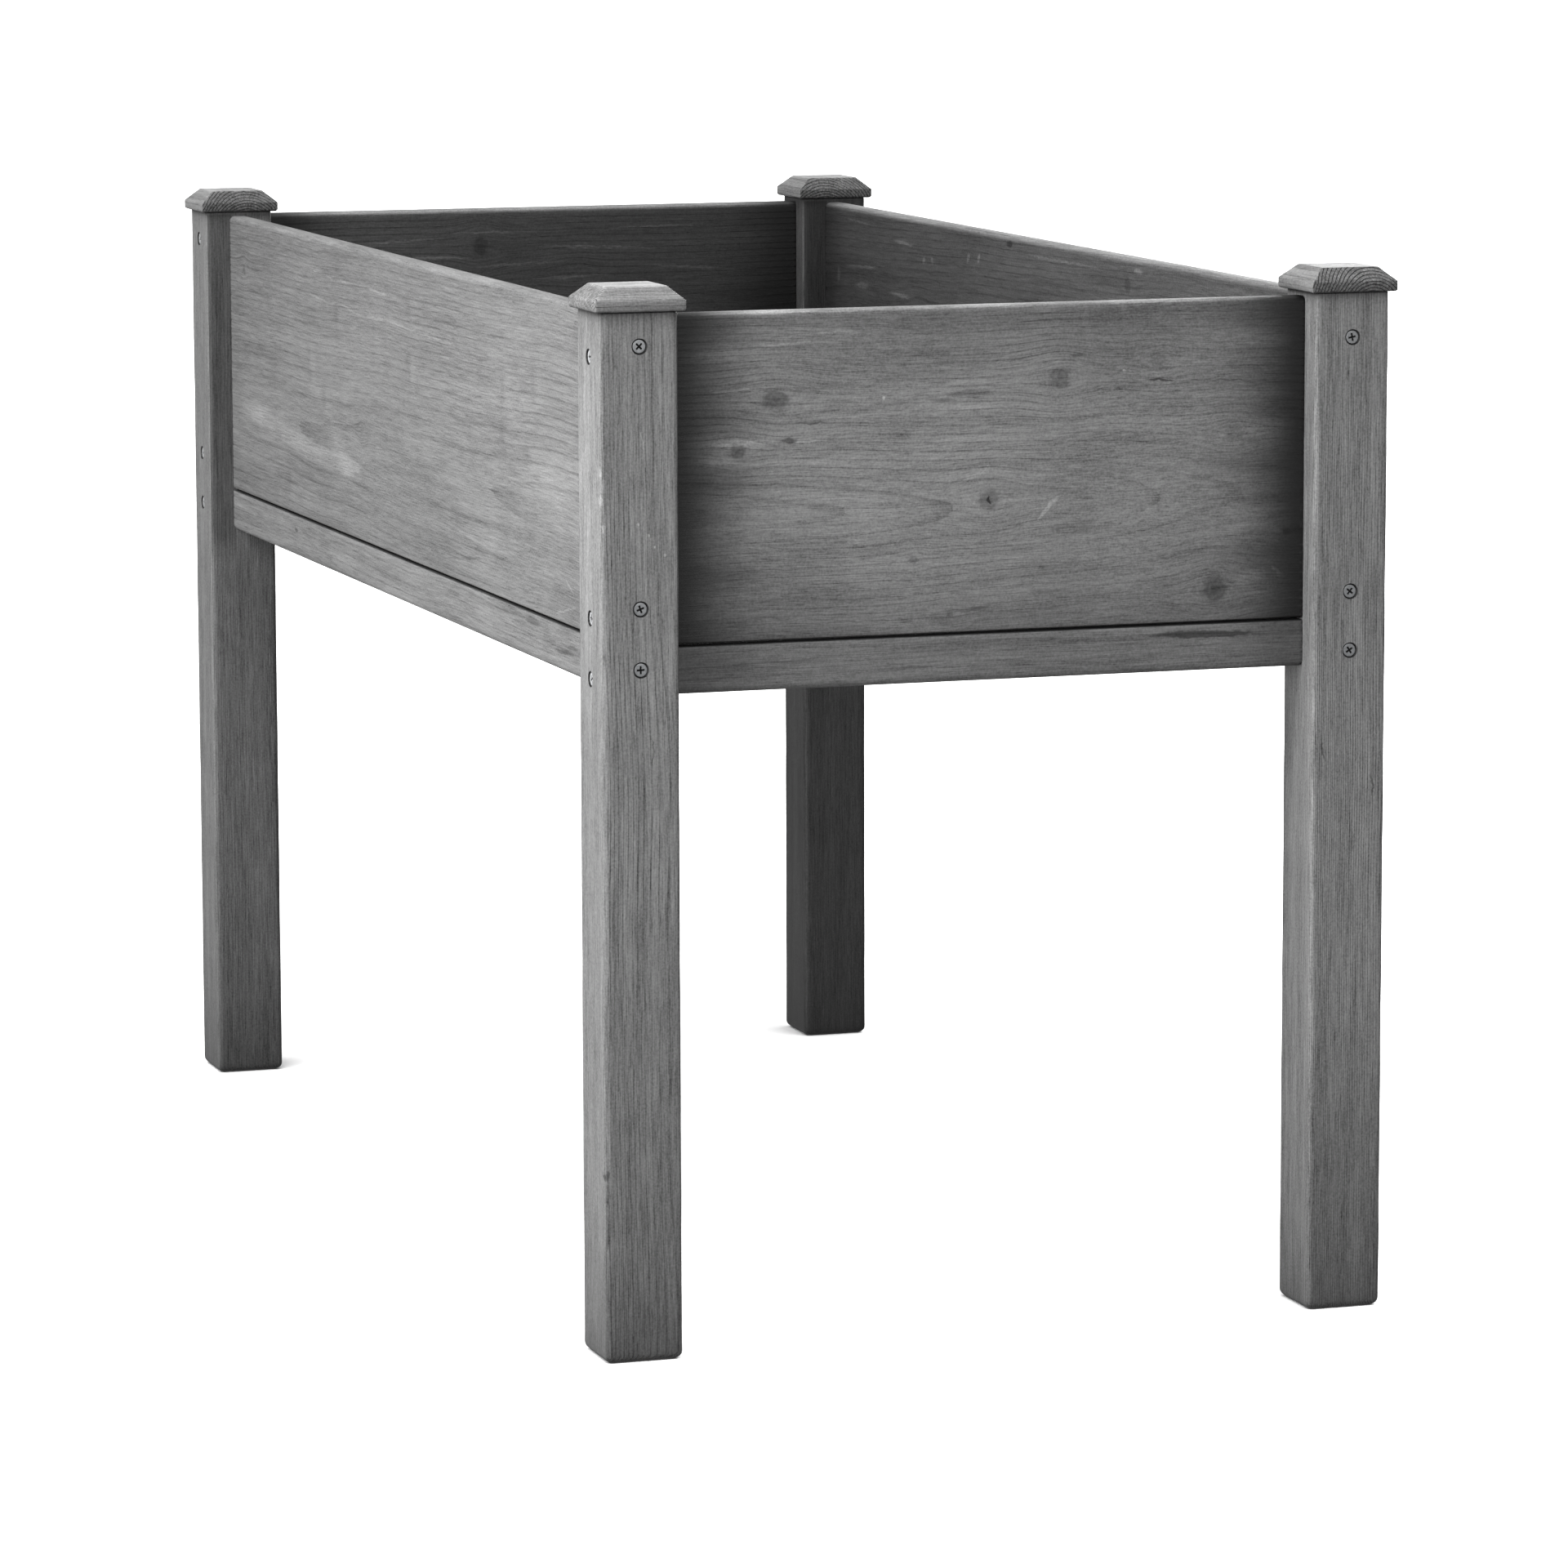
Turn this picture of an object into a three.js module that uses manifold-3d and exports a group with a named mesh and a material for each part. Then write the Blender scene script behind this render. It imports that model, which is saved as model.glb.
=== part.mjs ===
// A raised planter on legs. Four square posts with square caps carry a rectangular box. Each wall of
// the box is a wide panel board over a narrow rail board, butted between two posts and held by
// countersunk screws driven through the posts. A slatted floor rests on battens inside the rails.
//
// Millimetres. +X runs along the long walls, +Y across the box from the front wall to the back wall,
// +Z up. The origin is on the ground, midway between the four feet.

import * as THREE from 'three';
import { mergeVertices } from 'three/addons/utils/BufferGeometryUtils.js';
import Module from 'manifold-3d';

// ---- Overall sizes ----
const postSpanX = 1220; // outer face to outer face of the posts, along the long walls
const postSpanY = 592; // the same, across the box
const overallHeight = 762; // ground to the flat tops of the caps

// ---- Posts and their caps ----
const postSize = 57;
const postEdgeRadius = 4;
const footEdgeRadius = 6;
const postTopEdgeRadius = 0.8;
const capOverhang = 4.5; // past each face of the post
const capBandHeight = 7.5; // the upright edge under the slopes
const capLowerEdge = 1.2; // small bevel round the underside
const capSlopeHeight = 10;
const capSlopeRun = 11;

// ---- Wall boards ----
const boardThickness = 16.5;
const panelHeight = 232.5;
const railHeight = 34;
const panelToRail = 1.5; // open joint between a panel and the rail below it
const panelBelowCap = 3.5; // a panel's top edge to the cap's underside
const freeEdgeRadius = 4.5; // a panel's top edge and a rail's bottom edge
const meetingEdgeRadius = 1.6; // the edges on both sides of the open joint

// ---- Floor ----
const battenThickness = 20;
const battenHeight = 20;
const battenAboveRailEdge = 3; // a rail's bottom edge up to the batten's underside
const bearerWidth = 30;
const slatThickness = 12;
const slatCount = 8;
const drainGap = 6; // open joint between two slats

// ---- Screws through the posts ----
const shankRadius = 2.3;
const headRadius = 4.7;
const headRimHeight = 0.8;
const headConeHeight = 3.4;
const headSink = 1; // post face down to the top of the head
const countersinkFlare = 0.7; // what the countersink widens by between the head and the post face
const screwBite = 32; // length inside the board
const screwTipLength = 6;
const upperScrewDrop = 20.5; // a panel's top edge down to its upper screw
const middleScrewRise = 28.5; // a panel's bottom edge up to its lower screw
const screwStagger = 8.4; // height between the screws that cross inside one post

// ---- Dowels that hold the caps ----
const dowelRadius = 4;
const dowelInCap = 10;
const woodUnderDowel = 3; // left between a dowel's hole and the screw below it

// ---- Clearances ----
const seatGap = 0.3; // between pieces that bear on each other
const holeClearance = 0.3; // round a screw or a dowel
const slatClearance = 1; // between a floor slat and a wall or a post

// ---- Facets ----
const roundingFacets = 3; // across a quarter round
const screwFacets = 12;
const dowelFacets = 12;

// ---- Finishes ----
const stainedPost = new THREE.MeshStandardMaterial({ color: 0x83817e, roughness: 0.8 });
const stainedCap = new THREE.MeshStandardMaterial({ color: 0x8f8d8a, roughness: 0.8 });
const stainedBoard = new THREE.MeshStandardMaterial({ color: 0x7b7977, roughness: 0.8 });
const sawnSoftwood = new THREE.MeshStandardMaterial({ color: 0x8b8173, roughness: 0.85 });
const beechDowel = new THREE.MeshStandardMaterial({ color: 0xc9a878, roughness: 0.7 });
const zincPlate = new THREE.MeshStandardMaterial({ color: 0xb9bcc0, roughness: 0.35, metalness: 1 });

// ---- Heights worked out from the sizes above ----
const capHeight = capBandHeight + capSlopeHeight;
const capUnderside = overallHeight - capHeight;
const postTop = capUnderside - seatGap;
const panelTop = capUnderside - panelBelowCap;
const panelBottom = panelTop - panelHeight;
const railTop = panelBottom - panelToRail;
const railBottom = railTop - railHeight;
const battenBottom = railBottom + battenAboveRailEdge;
const battenTop = battenBottom + battenHeight;

// Each post takes two sets of three screws. The second set sits lower by the stagger, so that its
// screws pass under the first set's where they cross.
const screwHeights = {
  upper: panelTop - upperScrewDrop,
  middle: panelBottom + middleScrewRise,
  lower: (railTop + railBottom + screwStagger) / 2,
};
const screwLength = postSize - headSink + screwBite;
const dowelInPost = postTop - screwHeights.upper - shankRadius - 2 * holeClearance - woodUnderDowel;

// ---- Distances out from the middle of the box ----
const postCentreX = (postSpanX - postSize) / 2;
const postCentreY = (postSpanY - postSize) / 2;
const postInnerX = postCentreX - postSize / 2;
const postInnerY = postCentreY - postSize / 2;
const wallInnerX = postCentreX - boardThickness / 2;
const wallInnerY = postCentreY - boardThickness / 2;
const battenInnerX = wallInnerX - seatGap - battenThickness;
const battenInnerY = wallInnerY - seatGap - battenThickness;

// The box is one pattern of a corner and a wall, repeated by quarter turns. A side's wall runs up
// to its corner along the side's own +X, and `reach` is half the clear length that the wall and
// its batten fill.
const sides = [
  {
    corner: 'front_right',
    wall: 'front',
    turn: 0,
    cornerAt: [postCentreX, -postCentreY],
    wallAt: [0, -postCentreY],
    wallReach: postInnerX - seatGap,
    battenReach: postInnerX - seatGap,
  },
  {
    corner: 'back_right',
    wall: 'right',
    turn: Math.PI / 2,
    cornerAt: [postCentreX, postCentreY],
    wallAt: [postCentreX, 0],
    wallReach: postInnerY - seatGap,
    battenReach: Math.min(postInnerY, battenInnerY) - seatGap,
  },
  {
    corner: 'back_left',
    wall: 'back',
    turn: Math.PI,
    cornerAt: [-postCentreX, postCentreY],
    wallAt: [0, postCentreY],
    wallReach: postInnerX - seatGap,
    battenReach: postInnerX - seatGap,
  },
  {
    corner: 'front_left',
    wall: 'left',
    turn: -Math.PI / 2,
    cornerAt: [-postCentreX, -postCentreY],
    wallAt: [-postCentreX, 0],
    wallReach: postInnerY - seatGap,
    battenReach: Math.min(postInnerY, battenInnerY) - seatGap,
  },
];

const wasm = await Module();
wasm.setup();

/** Turns a closed geometry into a solid, merging shared corners and dropping collapsed faces. */
function toSolid(geometry) {
  const bare = geometry.clone();
  bare.deleteAttribute('normal');
  bare.deleteAttribute('uv');
  const merged = mergeVertices(bare, 1e-4);
  const corners = merged.getIndex().array;
  const faces = [];
  for (let i = 0; i < corners.length; i += 3) {
    const [a, b, c] = corners.subarray(i, i + 3);
    if (a !== b && b !== c && c !== a) {
      faces.push(a, b, c);
    }
  }
  const mesh = new wasm.Mesh({
    numProp: 3,
    vertProperties: new Float32Array(merged.getAttribute('position').array),
    triVerts: new Uint32Array(faces),
  });
  return new wasm.Manifold(mesh);
}

/** Turns a solid back into a geometry. */
function toGeometry(solid) {
  const mesh = solid.getMesh();
  const geometry = new THREE.BufferGeometry();
  geometry.setAttribute('position', new THREE.BufferAttribute(mesh.vertProperties, 3));
  geometry.setIndex(new THREE.BufferAttribute(mesh.triVerts, 1));
  geometry.computeVertexNormals();
  return geometry;
}

/** Cuts a list of geometries out of one geometry. */
function cutFrom(geometry, cutters) {
  let solid = toSolid(geometry);
  for (const cutter of cutters) {
    solid = solid.subtract(toSolid(cutter));
  }
  return toGeometry(solid);
}

/** A rectangle about the origin whose two lower corners and two upper corners have their own radii. */
function roundedRectangle(width, height, lowerRadius, upperRadius) {
  const right = width / 2;
  const top = height / 2;
  const shape = new THREE.Shape();
  shape.absarc(right - lowerRadius, lowerRadius - top, lowerRadius, -Math.PI / 2, 0);
  shape.absarc(right - upperRadius, top - upperRadius, upperRadius, 0, Math.PI / 2);
  shape.absarc(upperRadius - right, top - upperRadius, upperRadius, Math.PI / 2, Math.PI);
  shape.absarc(lowerRadius - right, lowerRadius - top, lowerRadius, Math.PI, 1.5 * Math.PI);
  shape.closePath();
  return shape;
}

/** A bar along X, centred on the origin, with its section drawn in Y (across) and Z (up). */
function barAlongX(section, length) {
  const bar = new THREE.ExtrudeGeometry(section, {
    depth: length,
    bevelEnabled: false,
    curveSegments: roundingFacets,
  });
  bar.translate(0, 0, -length / 2);
  bar.rotateX(Math.PI / 2);
  bar.rotateZ(Math.PI / 2);
  return bar;
}

/** A turned form from radii and heights that start and end on the Z axis, bottom first. */
function turnedForm(outline) {
  const profile = outline.map(([radius, height]) => new THREE.Vector2(radius, height));
  const form = new THREE.LatheGeometry(profile, screwFacets);
  form.rotateX(Math.PI / 2);
  return form;
}

/** The outline that a screw and its hole share, from the tip up to the rim of the head. */
function outlineUpToRim(clearance) {
  const rimHeight = -headSink - headRimHeight - clearance;
  const tipHeight = -headSink - screwLength - clearance;
  return [
    [0, tipHeight],
    [shankRadius + clearance, tipHeight + screwTipLength],
    [shankRadius + clearance, rimHeight - headConeHeight],
    [headRadius + clearance, rimHeight],
  ];
}

/** A screw that points down -Z, with its head sunk under a post face at Z = 0. */
function screwForm() {
  return turnedForm([...outlineUpToRim(0), [headRadius, -headSink], [0, -headSink]]);
}

/** The hole for a screw. Its countersink widens up to the post face and the cutter runs on past it. */
function screwHole() {
  const rimRadius = headRadius + holeClearance;
  const mouthRadius = rimRadius + countersinkFlare;
  const countersink = [
    [rimRadius, -headSink],
    [mouthRadius, 0],
    [mouthRadius, headSink],
  ];
  return turnedForm([...outlineUpToRim(holeClearance), ...countersink, [0, headSink]]);
}

/** A dowel, or with a clearance its hole, standing across the joint between post and cap. */
function dowelForm(clearance) {
  const radius = dowelRadius + clearance;
  const length = dowelInPost + dowelInCap + 2 * clearance;
  const form = new THREE.CylinderGeometry(radius, radius, length, dowelFacets);
  form.rotateX(Math.PI / 2);
  form.translate(0, 0, postTop + (dowelInCap - dowelInPost) / 2);
  return form;
}

/** The two sets of screws in a corner's own frame, where the post's outer faces look to +X and -Y. */
function cornerScrews(side, nextSide) {
  const sets = [
    { into: side.wall, turn: 0, shift: 0 },
    { into: nextSide.wall, turn: -Math.PI / 2, shift: -screwStagger },
  ];
  return sets.flatMap(({ into, turn, shift }) =>
    Object.entries(screwHeights).map(([level, height]) => ({
      name: `screw_${side.corner}_into_${into}_${level}`,
      turn,
      height: height + shift,
    })),
  );
}

/** Lays a form that points down -Z into a post, so that it starts at the post's face. */
function layIntoPost(form, { turn, height }) {
  form.translate(0, 0, postSize / 2);
  form.rotateY(Math.PI / 2);
  form.rotateZ(turn);
  form.translate(0, 0, height);
  return form;
}

/** A post on the ground: the overlap of three bars, so that its upright and foot edges are round. */
function postGeometry(screws) {
  const plan = roundedRectangle(postSize, postSize, postEdgeRadius, postEdgeRadius);
  const upright = new THREE.ExtrudeGeometry(plan, {
    depth: postTop,
    bevelEnabled: false,
    curveSegments: roundingFacets,
  });
  const profile = roundedRectangle(postSize, postTop, footEdgeRadius, postTopEdgeRadius);
  const alongX = barAlongX(profile, postSize);
  alongX.translate(0, 0, postTop / 2);
  const alongY = alongX.clone().rotateZ(Math.PI / 2);
  const blank = toSolid(upright).intersect(toSolid(alongX)).intersect(toSolid(alongY));
  const holes = screws.map((screw) => layIntoPost(screwHole(), screw));
  return cutFrom(toGeometry(blank), [...holes, dowelForm(holeClearance)]);
}

/** A square cap: a four-sided turning with an upright band and four slopes up to a flat top. */
function capGeometry() {
  const outer = (postSize / 2 + capOverhang) * Math.SQRT2;
  const profile = [
    new THREE.Vector2(0, 0),
    new THREE.Vector2(outer - capLowerEdge * Math.SQRT2, 0),
    new THREE.Vector2(outer, capLowerEdge),
    new THREE.Vector2(outer, capBandHeight),
    new THREE.Vector2(outer - capSlopeRun * Math.SQRT2, capHeight),
    new THREE.Vector2(0, capHeight),
  ];
  const cap = new THREE.LatheGeometry(profile, 4, Math.PI / 4);
  cap.rotateX(Math.PI / 2);
  cap.translate(0, 0, capUnderside);
  return cutFrom(cap, [dowelForm(holeClearance)]);
}

/** The holes that the screws leave in a wall's boards, in the wall's own frame. */
function wallScrewHoles(reach) {
  const postCentre = reach + seatGap + postSize / 2;
  return Object.values(screwHeights).flatMap((height) => {
    const nearEnd = layIntoPost(screwHole(), { turn: 0, height });
    nearEnd.translate(postCentre, 0, 0);
    const farEnd = layIntoPost(screwHole(), { turn: Math.PI, height: height - screwStagger });
    farEnd.translate(-postCentre, 0, 0);
    return [nearEnd, farEnd];
  });
}

/** A wall board with its screw holes, between two heights. */
function wallBoardGeometry(reach, bottom, top, lowerRadius, upperRadius) {
  const section = roundedRectangle(boardThickness, top - bottom, lowerRadius, upperRadius);
  const board = barAlongX(section, 2 * reach);
  board.translate(0, 0, (bottom + top) / 2);
  return cutFrom(board, wallScrewHoles(reach));
}

/** A floor slat across the box, with a notch round a post at each end of its +X edge. */
function notchedSlatGeometry(width, reach, notchAcross, notchReach) {
  const edge = width / 2;
  const outline = new THREE.Shape();
  outline.moveTo(-edge, -reach);
  outline.lineTo(edge - notchAcross, -reach);
  outline.lineTo(edge - notchAcross, -notchReach);
  outline.lineTo(edge, -notchReach);
  outline.lineTo(edge, notchReach);
  outline.lineTo(edge - notchAcross, notchReach);
  outline.lineTo(edge - notchAcross, reach);
  outline.lineTo(-edge, reach);
  outline.closePath();
  const slat = new THREE.ExtrudeGeometry(outline, { depth: slatThickness, bevelEnabled: false });
  slat.translate(0, 0, -slatThickness / 2);
  return slat;
}

/** Adds a named piece to a group and returns it, so that it can be placed. */
function addPiece(group, name, geometry, material) {
  const piece = new THREE.Mesh(geometry, material);
  piece.name = name;
  group.add(piece);
  return piece;
}

/** One corner: the post, its cap and dowel, and the screws through the post. */
function buildCorner(side, nextSide) {
  const group = new THREE.Group();
  const screws = cornerScrews(side, nextSide);
  addPiece(group, `post_${side.corner}`, postGeometry(screws), stainedPost);
  addPiece(group, `cap_${side.corner}`, capGeometry(), stainedCap);
  addPiece(group, `cap_dowel_${side.corner}`, dowelForm(0), beechDowel);
  for (const screw of screws) {
    addPiece(group, screw.name, layIntoPost(screwForm(), screw), zincPlate);
  }
  group.position.set(...side.cornerAt, 0);
  group.rotation.z = side.turn;
  return group;
}

/** One wall: the panel, the rail under it, and the batten inside the rail. */
function buildWall(side) {
  const group = new THREE.Group();
  const { wall, wallReach, battenReach } = side;
  const panel = wallBoardGeometry(wallReach, panelBottom, panelTop, meetingEdgeRadius, freeEdgeRadius);
  const rail = wallBoardGeometry(wallReach, railBottom, railTop, freeEdgeRadius, meetingEdgeRadius);
  const batten = new THREE.BoxGeometry(2 * battenReach, battenThickness, battenHeight);
  addPiece(group, `panel_${wall}`, panel, stainedBoard);
  addPiece(group, `rail_${wall}`, rail, stainedBoard);
  const battenOffset = (boardThickness + battenThickness) / 2 + seatGap;
  const battenPiece = addPiece(group, `batten_${wall}`, batten, sawnSoftwood);
  battenPiece.position.set(0, battenOffset, (battenBottom + battenTop) / 2);
  group.position.set(...side.wallAt, 0);
  group.rotation.z = side.turn;
  return group;
}

/** The floor: a bearer along the middle, and slats across it. The two end slats are notched. */
function buildFloor() {
  const group = new THREE.Group();
  const bearerLength = 2 * (battenInnerX - seatGap);
  const bearer = new THREE.BoxGeometry(bearerLength, bearerWidth, battenHeight);
  const bearerPiece = addPiece(group, 'floor_bearer', bearer, sawnSoftwood);
  bearerPiece.position.z = (battenBottom + battenTop) / 2;

  const fieldReach = wallInnerX - slatClearance;
  const slatReach = wallInnerY - slatClearance;
  const notchAcross = fieldReach - postInnerX + slatClearance;
  const notchReach = postInnerY - slatClearance;
  const slatWidth = (2 * fieldReach - (slatCount - 1) * drainGap) / slatCount;
  const plainSlat = new THREE.BoxGeometry(slatWidth, 2 * slatReach, slatThickness);
  const endSlat = notchedSlatGeometry(slatWidth, slatReach, notchAcross, notchReach);
  for (let i = 0; i < slatCount; i += 1) {
    const isFirst = i === 0;
    const isLast = i === slatCount - 1;
    const geometry = isFirst || isLast ? endSlat : plainSlat;
    const slat = addPiece(group, `floor_slat_${i + 1}`, geometry, sawnSoftwood);
    slat.position.x = -fieldReach + slatWidth / 2 + i * (slatWidth + drainGap);
    slat.position.z = battenTop + seatGap + slatThickness / 2;
    slat.rotation.z = isFirst ? Math.PI : 0;
  }
  return group;
}

const planter = new THREE.Group();
sides.forEach((side, i) => {
  planter.add(buildCorner(side, sides[(i + 1) % sides.length]));
  planter.add(buildWall(side));
});
planter.add(buildFloor());

export default planter;
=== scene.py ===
"""The looks of a raised planter on legs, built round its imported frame.

Every piece is a surface worked out with numpy in metres, +Z up, in the frame's own place. A stick
or board is the closed skin of a block that is cut into cells, with its arrises rounded, its screw
holes bored and its faces a little out of true. Each point of the wood also carries where it lay in
the tree, so that growth rings, end grain and the bend of the grain round a knot come from one solid
pattern.
"""

import logging
import math
from dataclasses import dataclass, field, replace
from enum import Enum

import bpy
import numpy as np
from mathutils import Matrix, Vector


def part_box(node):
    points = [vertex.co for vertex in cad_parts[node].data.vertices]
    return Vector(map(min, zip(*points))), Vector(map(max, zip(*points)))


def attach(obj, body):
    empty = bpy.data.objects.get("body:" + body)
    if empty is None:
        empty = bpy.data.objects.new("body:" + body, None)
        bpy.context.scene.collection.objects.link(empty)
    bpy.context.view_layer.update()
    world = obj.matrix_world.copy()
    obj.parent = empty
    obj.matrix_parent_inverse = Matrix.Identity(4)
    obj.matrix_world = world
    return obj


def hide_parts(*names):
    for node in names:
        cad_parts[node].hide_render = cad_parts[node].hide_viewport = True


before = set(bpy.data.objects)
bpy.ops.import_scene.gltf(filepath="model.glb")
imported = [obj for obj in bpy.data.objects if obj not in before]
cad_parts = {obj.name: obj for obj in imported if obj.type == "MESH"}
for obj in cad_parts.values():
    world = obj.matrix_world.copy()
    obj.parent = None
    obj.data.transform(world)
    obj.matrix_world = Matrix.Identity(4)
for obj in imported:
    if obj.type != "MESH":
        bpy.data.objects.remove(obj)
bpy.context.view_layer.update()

log = logging.getLogger("planter")

Material, Socket, Tree = bpy.types.Material, bpy.types.NodeSocket, bpy.types.NodeTree

MM = 0.001
BODY = "root"
CORNERS = ("front_right", "back_right", "back_left", "front_left")
WALLS = ("front", "right", "back", "left")
LEVELS = ("upper", "middle", "lower")
SMOOTH_BELOW = math.radians(38)  # faces that meet at less than this are one smooth surface
SAME_PLACE = 0.05 * MM  # lines closer than this are one line
NO_CELL = -9  # stands in a face's key when the face belongs to no cell


class Axis(Enum):
    """An axis of the planter, such as the way a piece's grain runs."""

    X = 0
    Y = 1
    Z = 2


# --- Small helpers ----------------------------------------


def linear(hex_colour: str) -> tuple[float, float, float, float]:
    """Turns an sRGB hex colour into the linear colour that a shader takes.

    Args:
        hex_colour: six hex digits, with or without a leading #.

    Returns:
        Red, green, blue and an alpha of 1.
    """
    digits = hex_colour.lstrip("#")
    parts = [int(digits[i : i + 2], 16) / 255 for i in (0, 2, 4)]
    red, green, blue = (p / 12.92 if p <= 0.04045 else ((p + 0.055) / 1.055) ** 2.4 for p in parts)
    return red, green, blue, 1.0


def add_node(
    tree: Tree,
    kind: str,
    *values: object,
    out: int | str = 0,
    named: dict[str, object] | None = None,
    **settings: object,
) -> Socket | None:
    """Adds a shader node, sets its options and fills its inputs with values or links.

    Args:
        tree: the node tree to add to.
        kind: the node's type without its ShaderNode prefix.
        values: what its first inputs take, in turn: a value, or the socket that feeds it.
        out: the output to give back.
        named: what other inputs take, by name.
        settings: the node's options.

    Returns:
        The output asked for, or None if the node has no outputs.
    """
    node = tree.nodes.new("ShaderNode" + kind)
    for name, value in settings.items():
        setattr(node, name, value)
    for key, value in [*enumerate(values), *(named or {}).items()]:
        if isinstance(value, Socket):
            tree.links.new(value, node.inputs[key])
        else:
            node.inputs[key].default_value = value
    return node.outputs[out] if node.outputs else None


def new_material(name: str) -> tuple[Material, Tree]:
    """Makes a material with an empty node tree.

    Args:
        name: the material's name.

    Returns:
        The material and its tree.
    """
    material = bpy.data.materials.new(name)
    material.use_nodes = True
    material.node_tree.nodes.clear()
    return material, material.node_tree


def waves(at: np.ndarray, length: float, seed: int, octaves: int = 3) -> np.ndarray:
    """A smooth random curve: a sum of sines whose lengths shrink and whose phases are drawn.

    Args:
        at: places along the curve, in metres.
        length: the longest wave, in metres.
        seed: the draw.
        octaves: how many sines are added, each 1.7 times shorter than the last.

    Returns:
        Values from about -1 to 1, one for each place.
    """
    phases = np.random.default_rng(seed).uniform(0, 2 * np.pi, octaves)
    steps = np.arange(octaves)
    turns = np.asarray(at)[..., None] * (2 * np.pi / length) * 1.7**steps + phases
    return (np.sin(turns) * 0.6**steps).sum(-1) / (0.6**steps).sum()


def even_lines(start: float, end: float, step: float) -> np.ndarray:
    """Spaces places evenly from one end to the other.

    Args:
        start: the first place.
        end: the last place.
        step: the most that two neighbours may be apart.

    Returns:
        The places, both ends among them.
    """
    return np.linspace(start, end, max(2, math.ceil((end - start) / step - 1e-6) + 1))


def merged_lines(*groups: np.ndarray) -> np.ndarray:
    """Puts several groups of places in one rising order.

    Args:
        groups: the places.

    Returns:
        All the places, with one left of any that nearly coincide.
    """
    places = np.sort(np.concatenate([np.ravel(g) for g in groups]))
    return places[np.concatenate([[True], np.diff(places) > SAME_PLACE])]


def rounding_lines(edge: float, inward: float, radius: float, steps: int) -> np.ndarray:
    """Places across a rounded arris, so that the arc's points stand at equal angles.

    Args:
        edge: the face that the arris ends at.
        inward: +1 or -1, the way from that face into the wood.
        radius: the arris's radius.
        steps: arc steps in each half of the quarter round.

    Returns:
        steps + 1 places, from where the arc begins to the face.
    """
    offsets = radius * np.tan(np.linspace(0, np.pi / 4, steps + 1))
    return edge + inward * (radius - offsets)


# --- Skins ----------------------------------------


@dataclass
class Skin:
    """A closed surface: its points, its four-sided faces and its three-sided faces."""

    points: np.ndarray
    quads: np.ndarray
    triangles: np.ndarray

    def to_object(self, name: str) -> bpy.types.Object:
        """Puts the surface into a mesh object at the origin, smooth except at its arrises.

        Args:
            name: the piece's name.

        Returns:
            The new object, linked to the scene.
        """
        mesh = bpy.data.meshes.new(name)
        mesh.from_pydata(self.points.tolist(), [], self.quads.tolist() + self.triangles.tolist())
        mesh.validate()
        mesh.shade_smooth()
        mesh.set_sharp_from_angle(angle=SMOOTH_BELOW)
        piece = bpy.data.objects.new(name, mesh)
        bpy.context.scene.collection.objects.link(piece)
        return piece


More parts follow.
